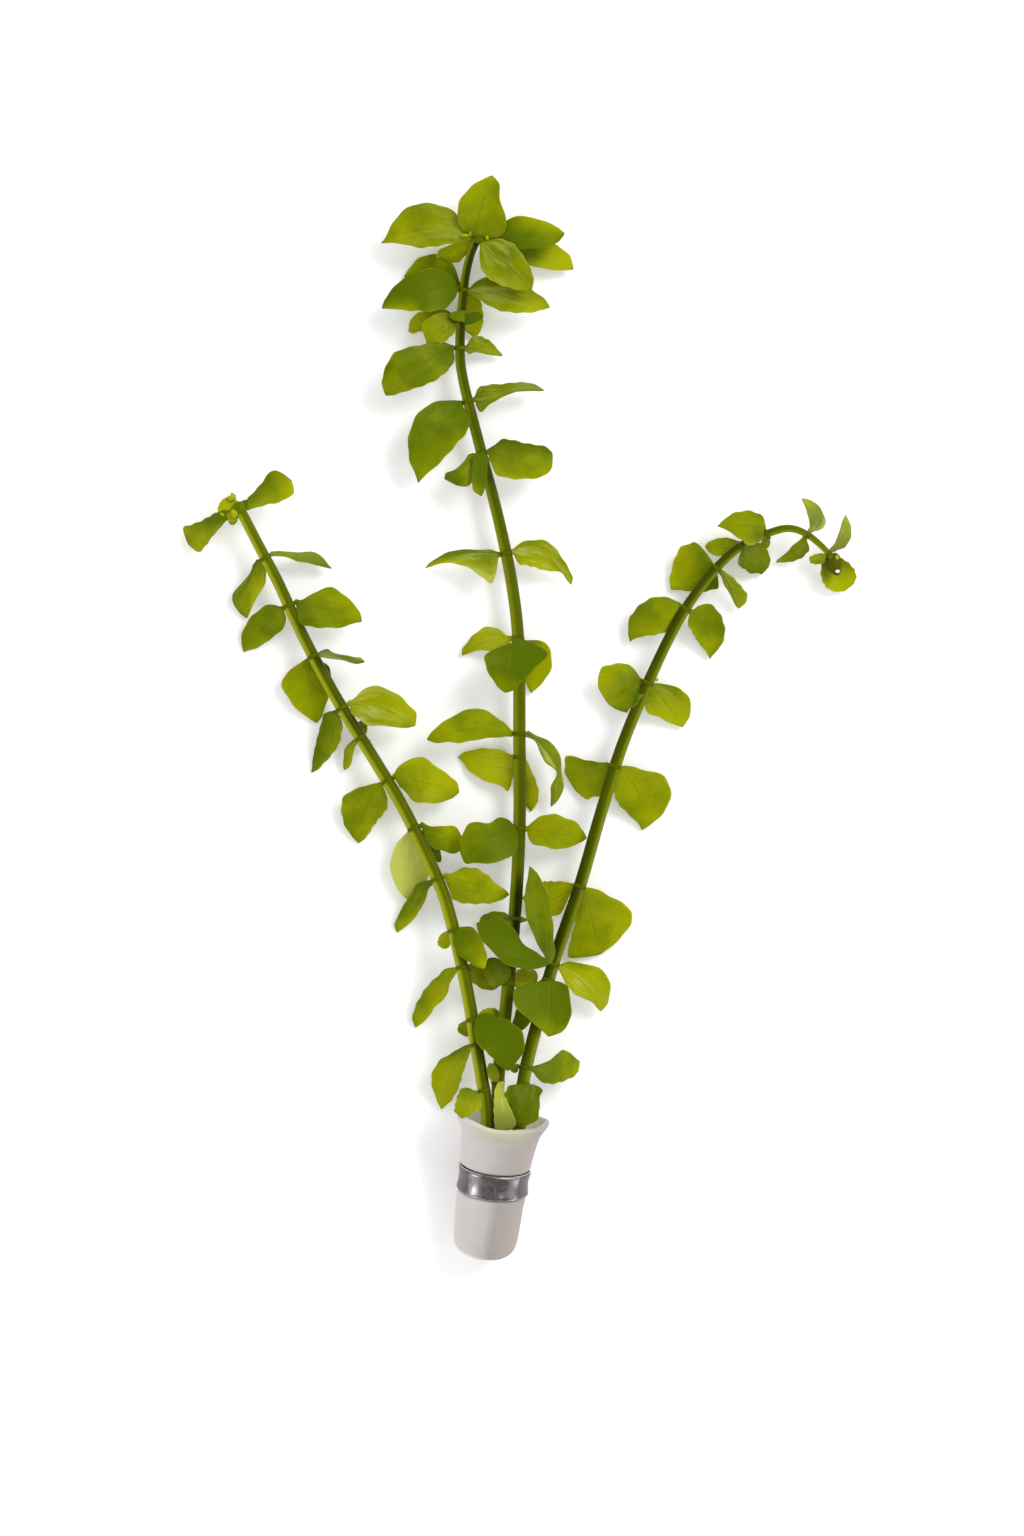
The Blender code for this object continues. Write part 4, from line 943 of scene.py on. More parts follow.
# %% Set a knuckle on every node
def knuckles(tree, given):
    """A low ring on each point that is marked as a node, turned square to the stem."""
    loop = add_node(tree, "GeometryNodeCurvePrimitiveCircle")
    feed(tree, loop.inputs["Resolution"], given["Sides"])
    feed(tree, loop.inputs["Radius"], 1.0)
    bead = add_node(tree, "GeometryNodeCurvePrimitiveCircle")
    feed(tree, bead.inputs["Resolution"], 12)
    feed(tree, bead.inputs["Radius"], given["Knuckle swell"])
    ring = add_node(tree, "GeometryNodeCurveToMesh")
    feed(tree, ring.inputs["Curve"], loop.outputs["Curve"])
    feed(tree, ring.inputs["Profile Curve"], bead.outputs["Curve"])
    ring_mesh = store(tree, ring.outputs["Mesh"], "at_node", 0.3)
    ring_mesh = store(tree, ring_mesh, "tone", given["Knuckle tone"])
    points = add_node(tree, "GeometryNodeMeshToPoints")
    feed(tree, points.inputs["Mesh"], given["Centre line"])
    feed(tree, points.inputs["Selection"], stored(tree, "knuckle", "BOOLEAN"))
    turned = add_node(tree, "FunctionNodeAlignRotationToVector", axis="Z")
    feed(tree, turned.inputs["Vector"], stored(tree, "heading", "FLOAT_VECTOR"))
    squash = sum_node(tree, "DIVIDE", given["Knuckle height"], given["Knuckle swell"])
    size = add_node(tree, "ShaderNodeCombineXYZ")
    girth = stored(tree, "girth")
    for axis, value in zip("XYZ", (girth, girth, squash)):
        feed(tree, size.inputs[axis], value)
    placed = add_node(tree, "GeometryNodeInstanceOnPoints")
    feed(tree, placed.inputs["Points"], points.outputs["Points"])
    feed(tree, placed.inputs["Instance"], ring_mesh)
    feed(tree, placed.inputs["Rotation"], turned.outputs["Rotation"])
    feed(tree, placed.inputs["Scale"], size.outputs[0])
    return placed.outputs["Instances"]


# %% The whole stem tree
def stem_tree():
    tree = bpy.data.node_groups.new("grown_stem", "GeometryNodeTree")
    tree_input(tree, "Centre line", "NodeSocketGeometry")
    tree_input(tree, "Sides", "NodeSocketInt", 36)
    tree_input(tree, "Ribs", "NodeSocketInt", 7)
    tree_input(tree, "Rib depth", "NodeSocketFloat", 0.025)
    tree_input(tree, "Knuckle height", "NodeSocketFloat", 0.4 * MM)
    tree_input(tree, "Knuckle swell", "NodeSocketFloat", 0.06)
    tree_input(tree, "Knuckle tone", "NodeSocketFloat", 0.35)
    tree_input(tree, "Material", "NodeSocketMaterial")
    tree.interface.new_socket(name="Stem", in_out="OUTPUT", socket_type="NodeSocketGeometry")
    given = add_node(tree, "NodeGroupInput").outputs
    joined = add_node(tree, "GeometryNodeJoinGeometry")
    tree.links.new(knuckles(tree, given), joined.inputs[0])
    tree.links.new(swept_stem(tree, given), joined.inputs[0])
    smooth = add_node(tree, "GeometryNodeSetShadeSmooth")
    feed(tree, smooth.inputs["Geometry"], joined.outputs[0])
    real = add_node(tree, "GeometryNodeRealizeInstances")
    feed(tree, real.inputs["Geometry"], smooth.outputs[0])
    coloured = add_node(tree, "GeometryNodeSetMaterial")
    feed(tree, coloured.inputs["Geometry"], real.outputs[0])
    feed(tree, coloured.inputs["Material"], given["Material"])
    feed(tree, add_node(tree, "NodeGroupOutput").inputs[0], coloured.outputs[0])
    return tree


grown_stem = stem_tree()
print("nodes in the stem tree:", len(grown_stem.nodes))

# %% Feed each stem's centre line to the tree
STEM_SPACING = 0.45
# How far each stem is from dark (0) to light (1), at distances from its cut end
STEM_TONES = {
    "middle": ((12, 30, 52, 57, 65, 72, 88, 98, 112, 132, 150, 166, 180, 188, 195, 205),
               (0.5, 0.27, 0.25, 0.06, 0.04, 0.3, 0.27, 0.4, 0.42, 0.37, 0.28, 0.24, 0.27, 0.03, 0.07, 0.1)),
    "left": ((12, 35, 45, 55, 65, 76, 90, 100, 109, 120, 132, 144, 156),
             (0.25, 0.3, 0.42, 0.45, 0.4, 0.42, 0.4, 0.38, 0.1, 0.3, 0.3, 0.4, 0.5)),
    "right": ((12, 38, 54, 66, 80, 105, 125, 140, 150, 156, 164, 172),
              (0.42, 0.27, 0.08, 0.12, 0.24, 0.2, 0.18, 0.14, 0.13, 0.3, 0.4, 0.55)),
}
NODE_SHADE = 0.7
TIP_ROUND = 0.8


def centre_line(name, stem, places):
    """A chain of points along a stem, with the numbers that the node tree reads."""
    spaced = np.arange(0.0, stem.length - 0.1, STEM_SPACING)
    past = TIP_ROUND * np.sin(np.linspace(0, math.pi / 2, 7))
    ways = np.concatenate([spaced, stem.length - TIP_ROUND / 2 + past])
    for place in places:
        ways[np.abs(ways - place).argmin()] = place
    ways = np.unique(ways)
    points, headings, girths, marks = [], [], [], []
    for way in ways:
        middle, tangent = stem.at(way)
        beyond = max(0.0, way - stem.length)
        over = max(0.0, way - (stem.length - TIP_ROUND / 2)) / TIP_ROUND
        points.append((middle + tangent * beyond + ORIGIN_SHIFT) * MM)
        headings.append(tangent)
        girths.append(stem.radius(way) * MM * math.sqrt(max(0.02, 1 - over**2)))
        marks.append(any(abs(way - place) < 1e-6 for place in places))
    gaps = np.abs(ways[:, None] - np.array(places)[None, :]).min(1)
    mesh = bpy.data.meshes.new(name)
    mesh.from_pydata(points, [(i, i + 1) for i in range(len(points) - 1)], [])
    tones = np.interp(ways, *STEM_TONES[name.split("_")[0]])
    numbers = {"girth": girths, "tone": tones, "at_node": np.exp(-((gaps / NODE_SHADE) ** 2))}
    for word, values in numbers.items():
        mesh.attributes.new(word, "FLOAT", "POINT").data.foreach_set("value", np.array(values, np.float32))
    heading = mesh.attributes.new("heading", "FLOAT_VECTOR", "POINT")
    heading.data.foreach_set("vector", np.array(headings, np.float32).ravel())
    knuckle = mesh.attributes.new("knuckle", "BOOLEAN", "POINT")
    knuckle.data.foreach_set("value", np.array(marks, bool))
    made = bpy.data.objects.new(name, mesh)
    bpy.context.scene.collection.objects.link(made)
    return made


def grown(name, stem, places, sizes, material):
    """The plain mesh that the stem tree makes of a stem's centre line."""
    line = centre_line(name, stem, places)
    modifier = line.modifiers.new("grow", "NODES")
    modifier.node_group = grown_stem
    named = {item.name: item.identifier for item in grown_stem.interface.items_tree}
    for word, value in {**sizes, "Material": material}.items():
        modifier[named[word]] = value
    graph = bpy.context.evaluated_depsgraph_get()
    mesh = bpy.data.meshes.new_from_object(line.evaluated_get(graph))
    line.modifiers.remove(modifier)
    line.data = mesh
    return line


stem_green = bpy.data.materials.new("stem_green")
stem_pieces = {}
STEM_SIZES = {
    "middle": {"Ribs": 7, "Rib depth": 0.014},
    "left": {"Ribs": 6, "Rib depth": 0.012},
    "right": {"Ribs": 7, "Rib depth": 0.014},
}
for key, stem in STEMS.items():
    places = [distance for distance, _ in LEAVES[key]]
    stem_pieces[f"{key}_stem"] = grown(
        f"{key}_stem_fine", stem, places, STEM_SIZES[key], stem_green
    )
for name, piece in stem_pieces.items():
    print(name, "faces:", len(piece.data.polygons))

# %% [markdown]
# ## The foam collar
#
# The collar is a plug of soft white foam, wrapped round the cut ends and squeezed at its
# waist by the lead. It is a turned form with soft faults: its lower end is rounded, its mouth
# flares unevenly, and its wall is thick. The outline is swept round the collar's axis, and a
# few slow waves push it in and out, which is what keeps it from looking machined.

# %% The collar's axis, and circles about it
FOAM_LENGTH = 31.8
FOAM_TILT = math.radians(12.0)
FOAM_LEAN = math.radians(7.0)
FOAM_END = np.array([-8.05, -117.0, 6.0])
STRIP_PLACE = 17.9
STRIP_WIDTH = 5.6
STRIP_RADIUS = 6.9
FOAM_AXIS = np.array([
    math.sin(FOAM_LEAN) * math.cos(FOAM_TILT),
    math.cos(FOAM_LEAN) * math.cos(FOAM_TILT),
    math.sin(FOAM_TILT),
])
FOAM_SIDE, FOAM_UP = frame_about(FOAM_AXIS)


def about_axis(place, radius, turn):
    """A point at a place along the collar's axis, a distance and a turn from it."""
    out = FOAM_SIDE * math.cos(turn) + FOAM_UP * math.sin(turn)
    return FOAM_END + FOAM_AXIS * place + out * radius


def turned_piece(name, profile, shape, sides):
    """A closed surface swept round the collar's axis. shape(place, radius, turn) may move
    each point of the profile, and the two ends of the profile are closed on the axis."""
    verts = []
    turns = np.arange(sides) * math.tau / sides
    for k, (place, radius) in enumerate(profile):
        for turn in turns:
            moved_place, moved_radius = shape(place, radius, turn, k)
            verts.append(about_axis(moved_place, moved_radius, turn))
    along = np.repeat(np.linspace(0, 1, len(profile)), sides)
    past_fold = np.clip((FOLD_TURN + 0.05 - turns) / 0.3, 0, 1)
    rows = len(profile)
    marks = {
        "along": along, "painted_shade_side": np.tile(np.cos(turns - 0.4), rows),
        "facing": np.tile(np.sin(turns), rows),
        "past_fold": np.tile(past_fold * np.clip(4 * np.sin(turns), 0, 1), rows),
    }
    faces = tube_faces(len(profile), sides)
    last = (len(profile) - 1) * sides
    faces.append(tuple(range(sides))[::-1])
    faces.append(tuple(range(last, last + sides)))
    return mesh_piece(name, verts, faces, marks)


def rounded(points, per_span=6):
    """A smooth profile of (place, radius) through a few corner points."""
    flat = smooth_curve([(a, b, 0.0) for a, b in points], per_span)
    return [(a, b) for a, b, _ in flat]


# %% Turn the foam collar
FOAM_TURNS = 112
low = STRIP_PLACE - STRIP_WIDTH / 2
high = STRIP_PLACE + STRIP_WIDTH / 2
FOAM_OUTLINE = [
    (0.15, 1.2), (0.25, 3.2), (0.9, 5.2), (2.5, 6.75), (5.0, 7.3), (9.0, 7.5), (low - 2.0, 7.65),
    (low - 0.45, 7.5), (low + 0.1, 6.9), (STRIP_PLACE - 1.2, 6.4), (STRIP_PLACE + 1.2, 6.4),
    (high - 0.1, 6.9), (high + 0.4, 7.7), (high + 1.6, 7.95), (high + 5.5, 8.3),
    (FOAM_LENGTH - 3.2, 8.6), (FOAM_LENGTH - 1.6, 9.35), (FOAM_LENGTH - 0.5, 9.7),
    (FOAM_LENGTH, 9.1), (FOAM_LENGTH - 0.3, 8.4), (FOAM_LENGTH - 2.5, 7.5), (high + 4.0, 6.2),
    (high, 5.2), (14.0, 4.8), (12.8, 3.5), (12.6, 1.0),
]
FOLD_TURN = 1.62


def foam_shape(place, radius, turn, k):
    """Slow waves in the wall, and an uneven mouth that bulges most to the right."""
    free = min(1.0, abs(place - STRIP_PLACE) / 5.0)
    mouth = max(0.0, (place - high) / (FOAM_LENGTH - high)) ** 1.5
    swell = 1.15 * math.exp(-(math.remainder(turn, math.tau) ** 2) / 0.5) * mouth
    slow = 0.10 * math.sin(2 * turn + 0.8 + 0.12 * place) + 0.06 * math.sin(3 * turn + 0.2 * place)
    lip = 0.22 * math.sin(3 * turn + 0.6) + 0.16 * math.sin(5 * turn + 2.0)
    below = min(1.0, max(0.0, (low - place) / 3.0))
    fold = 0.16 * math.tanh((turn - FOLD_TURN) / 0.05) * math.exp(-(((turn - FOLD_TURN) / 0.5) ** 2))
    narrow = -0.45 * max(0.0, math.cos(turn)) ** 2
    shift = swell + slow * free + below * (fold + narrow) - 0.12
    return place + 0.25 * swell + lip * mouth, radius + shift * min(1.0, radius / 4)


foam_piece = turned_piece(
    "foam_collar_fine", rounded(FOAM_OUTLINE), foam_shape, FOAM_TURNS
)
print("foam collar faces:", len(foam_piece.data.polygons))

# %% [markdown]
# ## The lead strip
#
# A plain strip of soft lead is bent round the foam by hand. The squeeze has dished it: its
# middle is pressed in and its two long edges stand up, thin and polished by handling. So its
# cross-section is a shallow C, swept nearly all the way round. The two ends almost meet on
# the underside.

# %% Bend the lead strip
STRIP_THICKNESS = 0.7
STRIP_FLARE = 0.55
STRIP_PARTING = math.radians(9.0)
STRIP_STATIONS = 120
DISH_POINTS = 13


def dished_profile():
    """The strip's cross-section, anticlockwise: its inner face, then its rounded outer one."""
    half = STRIP_WIDTH / 2
    places = np.linspace(-1, 1, DISH_POINTS)
    inner = [(STRIP_FLARE * abs(p) ** 2.2, half * p) for p in places]
    outer = []
    for p in places[::-1]:
        edge = math.sqrt(max(0.0, 1 - abs(p) ** 6))
        depth = 0.2 + (STRIP_THICKNESS - 0.2) * edge
        outer.append((STRIP_FLARE * abs(p) ** 2.2 + depth, half * p * (1.0 if abs(p) < 1 else 0.985)))
    return inner + outer


def bent_strip(name):
    profile = dished_profile()
    first = -math.pi / 2 + STRIP_PARTING / 2
    sweep = math.tau - STRIP_PARTING
    verts, around, rim = [], [], []
    for k in range(STRIP_STATIONS + 1):
        turn = first + sweep * k / STRIP_STATIONS
        dent = 0.05 * math.sin(5 * turn + 1.0) + 0.035 * math.sin(9 * turn)
        sway = 0.10 * math.sin(2 * turn + 0.5)
        for depth, height in profile:
            edge = abs(height) / (STRIP_WIDTH / 2)
            radius = STRIP_RADIUS + depth + dent * edge
            verts.append(about_axis(STRIP_PLACE + height + sway, radius, turn))
            around.append(turn / math.tau)
            rim.append(edge)
    size = len(profile)
    faces = tube_faces(STRIP_STATIONS + 1, size)
    last = STRIP_STATIONS * size
    faces.append(tuple(range(size))[::-1])
    faces.append(tuple(range(last, last + size)))
    return mesh_piece(name, verts, faces, {"around": around, "rim": rim})


strip_piece = bent_strip("lead_strip_fine")
print("lead strip faces:", len(strip_piece.data.polygons))

# %% [markdown]
# ## Shared shader groups
#
# Two effects come back in several materials. One is slow blotches of colour, as in living
# tissue, old metal and foam. The other is the fine relief of a surface that is not quite
# smooth. Each is a node group, so it is built once and placed with other numbers. Groups hand
# out masks and colours only, and each material keeps its own shader.

# %% Helpers for shader trees
def srgb(*channels):
    """A colour as it is read from a picture, from 0 to 255, as the shader's linear light."""
    shares = [c / 255 for c in channels]
    return (*[s / 12.92 if s <= 0.04045 else ((s + 0.055) / 1.055) ** 2.4 for s in shares], 1.0)


def mix(tree, factor, first, second, blend="MIX"):
    """A colour mixed from two, by a factor from 0 to 1."""
    made = add_node(tree, "ShaderNodeMix", data_type="RGBA", blend_type=blend)
    feed(tree, made.inputs["Factor"], factor)
    feed(tree, made.inputs[6], first)
    feed(tree, made.inputs[7], second)
    return made.outputs[2]


def fade(tree, value, low, high, out_low=0.0, out_high=1.0):
    """A soft step: out_low below low, out_high above high, and smooth between."""
    made = add_node(tree, "ShaderNodeMapRange", interpolation_type="SMOOTHSTEP")
    for socket, number in zip(("From Min", "From Max", "To Min", "To Max"), (low, high, out_low, out_high)):
        made.inputs[socket].default_value = number
    feed(tree, made.inputs["Value"], value)
    return made.outputs["Result"]


def noise(tree, vector, scale, detail=3.0, roughness=0.5, distortion=0.0):
    made = add_node(tree, "ShaderNodeTexNoise")
    feed(tree, made.inputs["Vector"], vector)
    for word, value in (("Scale", scale), ("Detail", detail), ("Roughness", roughness), ("Distortion", distortion)):
        feed(tree, made.inputs[word], value)
    return made.outputs["Fac"]


def mark(tree, name):
    """A number that the piece carries on its points."""
    return add_node(tree, "ShaderNodeAttribute", attribute_name=name).outputs["Fac"]


def object_place(tree):
    return add_node(tree, "ShaderNodeTexCoord").outputs["Object"]


# %% The blotch group and the fine relief group
def blotch_group():
    tree = bpy.data.node_groups.new("blotches", "ShaderNodeTree")
    for name, kind, value in (
        ("Place", "NodeSocketVector", None), ("Scale", "NodeSocketFloat", 150.0),
        ("Seed", "NodeSocketFloat", 0.0), ("Strength", "NodeSocketFloat", 0.5),
    ):
        tree_input(tree, name, kind, value)
    tree.interface.new_socket(name="Mask", in_out="OUTPUT", socket_type="NodeSocketFloat")
    given = add_node(tree, "NodeGroupInput").outputs
    apart = add_node(tree, "ShaderNodeCombineXYZ")
    for axis in "XYZ":
        feed(tree, apart.inputs[axis], given["Seed"])
    moved = add_node(tree, "ShaderNodeVectorMath", operation="ADD")
    feed(tree, moved.inputs[0], given["Place"])
    feed(tree, moved.inputs[1], apart.outputs[0])
    raw = noise(tree, moved.outputs[0], given["Scale"], 4.0, 0.55, 0.4)
    centred = sum_node(tree, "SUBTRACT", raw, 0.5)
    scaled = sum_node(tree, "MULTIPLY", centred, given["Strength"])
    feed(tree, add_node(tree, "NodeGroupOutput").inputs[0], scaled)
    return tree


def relief_group():
    tree = bpy.data.node_groups.new("fine_relief", "ShaderNodeTree")
    for name, kind, value in (
        ("Place", "NodeSocketVector", None), ("Cell size", "NodeSocketFloat", 2500.0),
        ("Waviness", "NodeSocketFloat", 350.0),
    ):
        tree_input(tree, name, kind, value)
    tree.interface.new_socket(name="Height", in_out="OUTPUT", socket_type="NodeSocketFloat")
    given = add_node(tree, "NodeGroupInput").outputs
    cells = add_node(tree, "ShaderNodeTexVoronoi")
    feed(tree, cells.inputs["Vector"], given["Place"])
    feed(tree, cells.inputs["Scale"], given["Cell size"])
    slow = noise(tree, given["Place"], given["Waviness"], 2.0)
    shallow = sum_node(tree, "MULTIPLY", cells.outputs["Distance"], 0.25)
    feed(tree, add_node(tree, "NodeGroupOutput").inputs[0], sum_node(tree, "ADD", shallow, slow))
    return tree


blotches = blotch_group()
fine_relief = relief_group()


def placed_group(tree, group, **values):
    made = add_node(tree, "ShaderNodeGroup", node_tree=group)
    for word, value in values.items():
        feed(tree, made.inputs[word.replace("_", " ")], value)
    return made.outputs[0]


def fresh_material(name):
    """An empty material with its shader wired to the output."""
    made = bpy.data.materials.get(name) or bpy.data.materials.new(name)
    made.use_nodes = True
    shader = made.node_tree.nodes["Principled BSDF"]
    return made, made.node_tree, shader


def bump(tree, shader, height, strength, distance):
    made = add_node(tree, "ShaderNodeBump")
    made.inputs["Strength"].default_value = strength
    made.inputs["Distance"].default_value = distance
    feed(tree, made.inputs["Height"], height)
    tree.links.new(made.outputs["Normal"], shader.inputs["Normal"])


print("shared groups:", blotches.name, fine_relief.name)

# %% [markdown]
# ## The leaf material
#
# A leaf is one colour only at a glance. Its tone runs from deep green to lit yellow-green, and
# slow blotches shift it; the tone is partly the leaf's own colour and partly painted light and
# shade. A few curved veins run from base to tip, with fine side veins between them, all a
# little darker. The outermost rim is thin, so light comes through it and it looks yellow. Some
# leaves carry a painted silvery sheen, a painted reflection in streaks along the veins,
# strongest near the base. The tip ends in a small dark point, and a sheen above 1.2 paints a
# white glint. Every one of these reads the place across and along the leaf that the mesh
# carries.

# %% Build the leaf material
LEAF_DEEP = srgb(78, 98, 0)
LEAF_LIT = srgb(159, 165, 0)
LEAF_RIM = srgb(190, 182, 30)
LEAF_VEIN = srgb(80, 98, 0)
LEAF_PAINTED_SHEEN = srgb(198, 203, 108)
LEAF_POINT = srgb(70, 50, 10)
PAINTED_GLINT_WHITE = srgb(246, 244, 240)
GREEN_GLOSS = (0.95, 1.0, 0.12, 1.0)


def vein_mask(tree, across, along, seed):
    """Curved main veins at even shares of the half width, and feathered side veins."""
    beside = sum_node(tree, "ABSOLUTE", across)
    rows = sum_node(tree, "PINGPONG", beside, 0.17)
    main = fade(tree, rows, 0.0, 0.035, 1.0, 0.0)
    near_base = fade(tree, along, 0.25, 0.95, 1.0, 0.0)
    main = sum_node(tree, "MULTIPLY", main, near_base)
    slant = sum_node(tree, "MULTIPLY_ADD", beside, -0.55, along)
    feather = sum_node(tree, "SINE", sum_node(tree, "MULTIPLY_ADD", slant, 62.0, seed))
    feather = fade(tree, feather, 0.55, 1.0, 0.0, 0.4)
    midline = fade(tree, beside, 0.0, 0.07, 1.0, 0.0)
    long_reach = fade(tree, along, 0.55, 1.0, 1.0, 0.0)
    midline = sum_node(tree, "MULTIPLY", midline, long_reach)
    both = sum_node(tree, "MAXIMUM", sum_node(tree, "MULTIPLY", main, 0.45), midline)
    return sum_node(tree, "MAXIMUM", both, feather)


def leaf_material():
    made, tree, shader = fresh_material("leaf_green")
    place = object_place(tree)
    across, along = mark(tree, "across"), mark(tree, "along")
    tone, sheen, seed = mark(tree, "tone"), mark(tree, "sheen"), mark(tree, "seed")
    slow = placed_group(tree, blotches, Place=place, Scale=170.0, Seed=seed, Strength=0.9)
    # Painted light and shade, partly the leaf's own colour: the tone mixes deep and lit green.
    lit = sum_node(tree, "ADD", tone, slow)
    lit = fade(tree, lit, -0.05, 1.05)
    colour = mix(tree, lit, LEAF_DEEP, LEAF_LIT)
    veins = vein_mask(tree, across, along, seed)
    colour = mix(tree, sum_node(tree, "MULTIPLY", veins, 0.28), colour, LEAF_VEIN)
    beside = sum_node(tree, "ABSOLUTE", across)
    rim = fade(tree, beside, 0.93, 0.995)
    rim_part = noise(tree, place, 260.0, 2.0)
    rim = sum_node(tree, "MULTIPLY", rim, fade(tree, rim_part, 0.3, 0.7, 0.1, 0.75))
    rim = sum_node(tree, "MULTIPLY", rim, fade(tree, along, 0.04, 0.3))
    rim = sum_node(tree, "MULTIPLY", rim, fade(tree, tone, -0.2, 0.6, 0.35, 1.0))
    colour = mix(tree, rim, colour, LEAF_RIM)
    # Painted sheen: a pale colour in soft streaks, a painted reflection, as strong as the leaf's sheen.
    stretched = add_node(tree, "ShaderNodeCombineXYZ")
    feed(tree, stretched.inputs["X"], sum_node(tree, "MULTIPLY", across, 1.7))
    feed(tree, stretched.inputs["Y"], sum_node(tree, "MULTIPLY", along, 1.1))
    feed(tree, stretched.inputs["Z"], seed)
    streaks = fade(tree, noise(tree, stretched.outputs[0], 1.5, 3.0, 0.62, 0.8), 0.4, 0.72)
    fading = fade(tree, along, 0.1, 0.95, 1.0, 0.3)
    patchy = sum_node(tree, "MULTIPLY", streaks, fading)
    even = fade(tree, sheen, 0.55, 1.0, 0.0, 0.6)
    painted_sheen = sum_node(tree, "MULTIPLY", sum_node(tree, "MAXIMUM", patchy, even), sheen)
    colour = mix(tree, painted_sheen, colour, LEAF_PAINTED_SHEEN)
    point = fade(tree, along, 0.965, 0.995, 0.0, 0.6)
    colour = mix(tree, point, colour, LEAF_POINT)
    # Painted glint: where the sheen is above 1.2 the colour turns white.
    colour = mix(tree, fade(tree, sheen, 1.2, 1.9), colour, PAINTED_GLINT_WHITE)
    tree.links.new(colour, shader.inputs["Base Color"])
    gloss = fade(tree, slow, -0.4, 0.4, 0.46, 0.36)
    tree.links.new(gloss, shader.inputs["Roughness"])
    shader.inputs["Specular IOR Level"].default_value = 0.25
    shader.inputs["Specular Tint"].default_value = GREEN_GLOSS
    relief = placed_group(tree, fine_relief, Place=place, Cell_size=2300.0, Waviness=420.0)
    height = sum_node(tree, "MULTIPLY_ADD", veins, -0.5, relief)
    bump(tree, shader, height, 0.5, 0.18 * MM)
    return made


leaf_green = leaf_material()
for piece in leaf_pieces.values():
    piece.data.materials.append(leaf_green)
print("leaf material nodes:", len(leaf_green.node_tree.nodes))

# %% [markdown]
# ## The stem material
#
# The stems are darker than the leaves, olive, and darkest where a pair of leaves clasps them.
# Each has lighter and darker stretches, and faint lines between its ribs. One flank carries a
# painted yellow-green highlight, as the light falls along it: the left flank on the left and
# middle stems, the right one on the right stem.

# %% Build the stem materials
STEM_DARK = srgb(24, 38, 0)
STEM_OLIVE = srgb(120, 132, 0)
STEM_PAINTED_HIGHLIGHT = srgb(160, 166, 26)
STEM_NODE = srgb(38, 50, 0)


def stem_material(made, highlight_side, highlight_strength):
    _, tree, shader = fresh_material(made)
    place = object_place(tree)
    at_node = mark(tree, "at_node")
    slow = placed_group(tree, blotches, Place=place, Scale=90.0, Seed=3.0, Strength=0.9)
    level = sum_node(tree, "MULTIPLY_ADD", mark(tree, "rib"), 0.03, mark(tree, "tone"))
    level = sum_node(tree, "MULTIPLY_ADD", slow, 0.35, level)
    colour = mix(tree, level, STEM_DARK, STEM_OLIVE)
    # Painted highlight: one flank is painted brighter yellow-green.
    facing = sum_node(tree, "MULTIPLY", mark(tree, "flank"), highlight_side)
    painted_highlight = fade(tree, facing, -0.1, 0.75, 0.0, highlight_strength)
    colour = mix(tree, painted_highlight, colour, STEM_PAINTED_HIGHLIGHT)
    colour = mix(tree, fade(tree, at_node, 0.15, 1.0, 0.0, 0.5), colour, STEM_NODE)
    tree.links.new(colour, shader.inputs["Base Color"])
    gloss = fade(tree, slow, -0.4, 0.4, 0.42, 0.32)
    tree.links.new(gloss, shader.inputs["Roughness"])
    shader.inputs["Specular IOR Level"].default_value = 0.14
    shader.inputs["Specular Tint"].default_value = GREEN_GLOSS
    relief = placed_group(tree, fine_relief, Place=place, Cell_size=1500.0, Waviness=300.0)
    bump(tree, shader, relief, 0.25, 0.1 * MM)
    return bpy.data.materials[made]


PAINTED_HIGHLIGHT_FLANKS = {"middle_stem": (-1.0, 0.45), "left_stem": (-1.0, 0.9), "right_stem": (1.0, 0.35)}
for name, piece in stem_pieces.items():
    piece.data.materials.clear()
    piece.data.materials.append(stem_material(name + "_skin", *PAINTED_HIGHLIGHT_FLANKS[name]))
print("stem materials:", len(stem_pieces))

# %% [markdown]
# ## Foam and lead
#
# The foam is white and lets a little light in, so it is soft to look at: pale on its left and
# darker on its right, painted shade, and darker past the fold below the strip. It is tinged
# green inside its mouth, painted light where the plant shines through, and its inside is
# painted lighter, a painted light against the shade there. Lead goes dull and blue-grey in
# the air. Handling has polished its raised edges. Slow dark stains mottle it, and it is painted
# darker where it faces straight up, a painted dark reflection, and towards its two sides,
# painted shade.

# %% Build the foam material
FOAM_PALE = srgb(207, 201, 198)
FOAM_PAINTED_SHADE = srgb(163, 155, 150)
FOAM_GREEN = srgb(198, 202, 160)
FOAM_INSIDE_PAINTED_LIGHT = srgb(250, 248, 236)


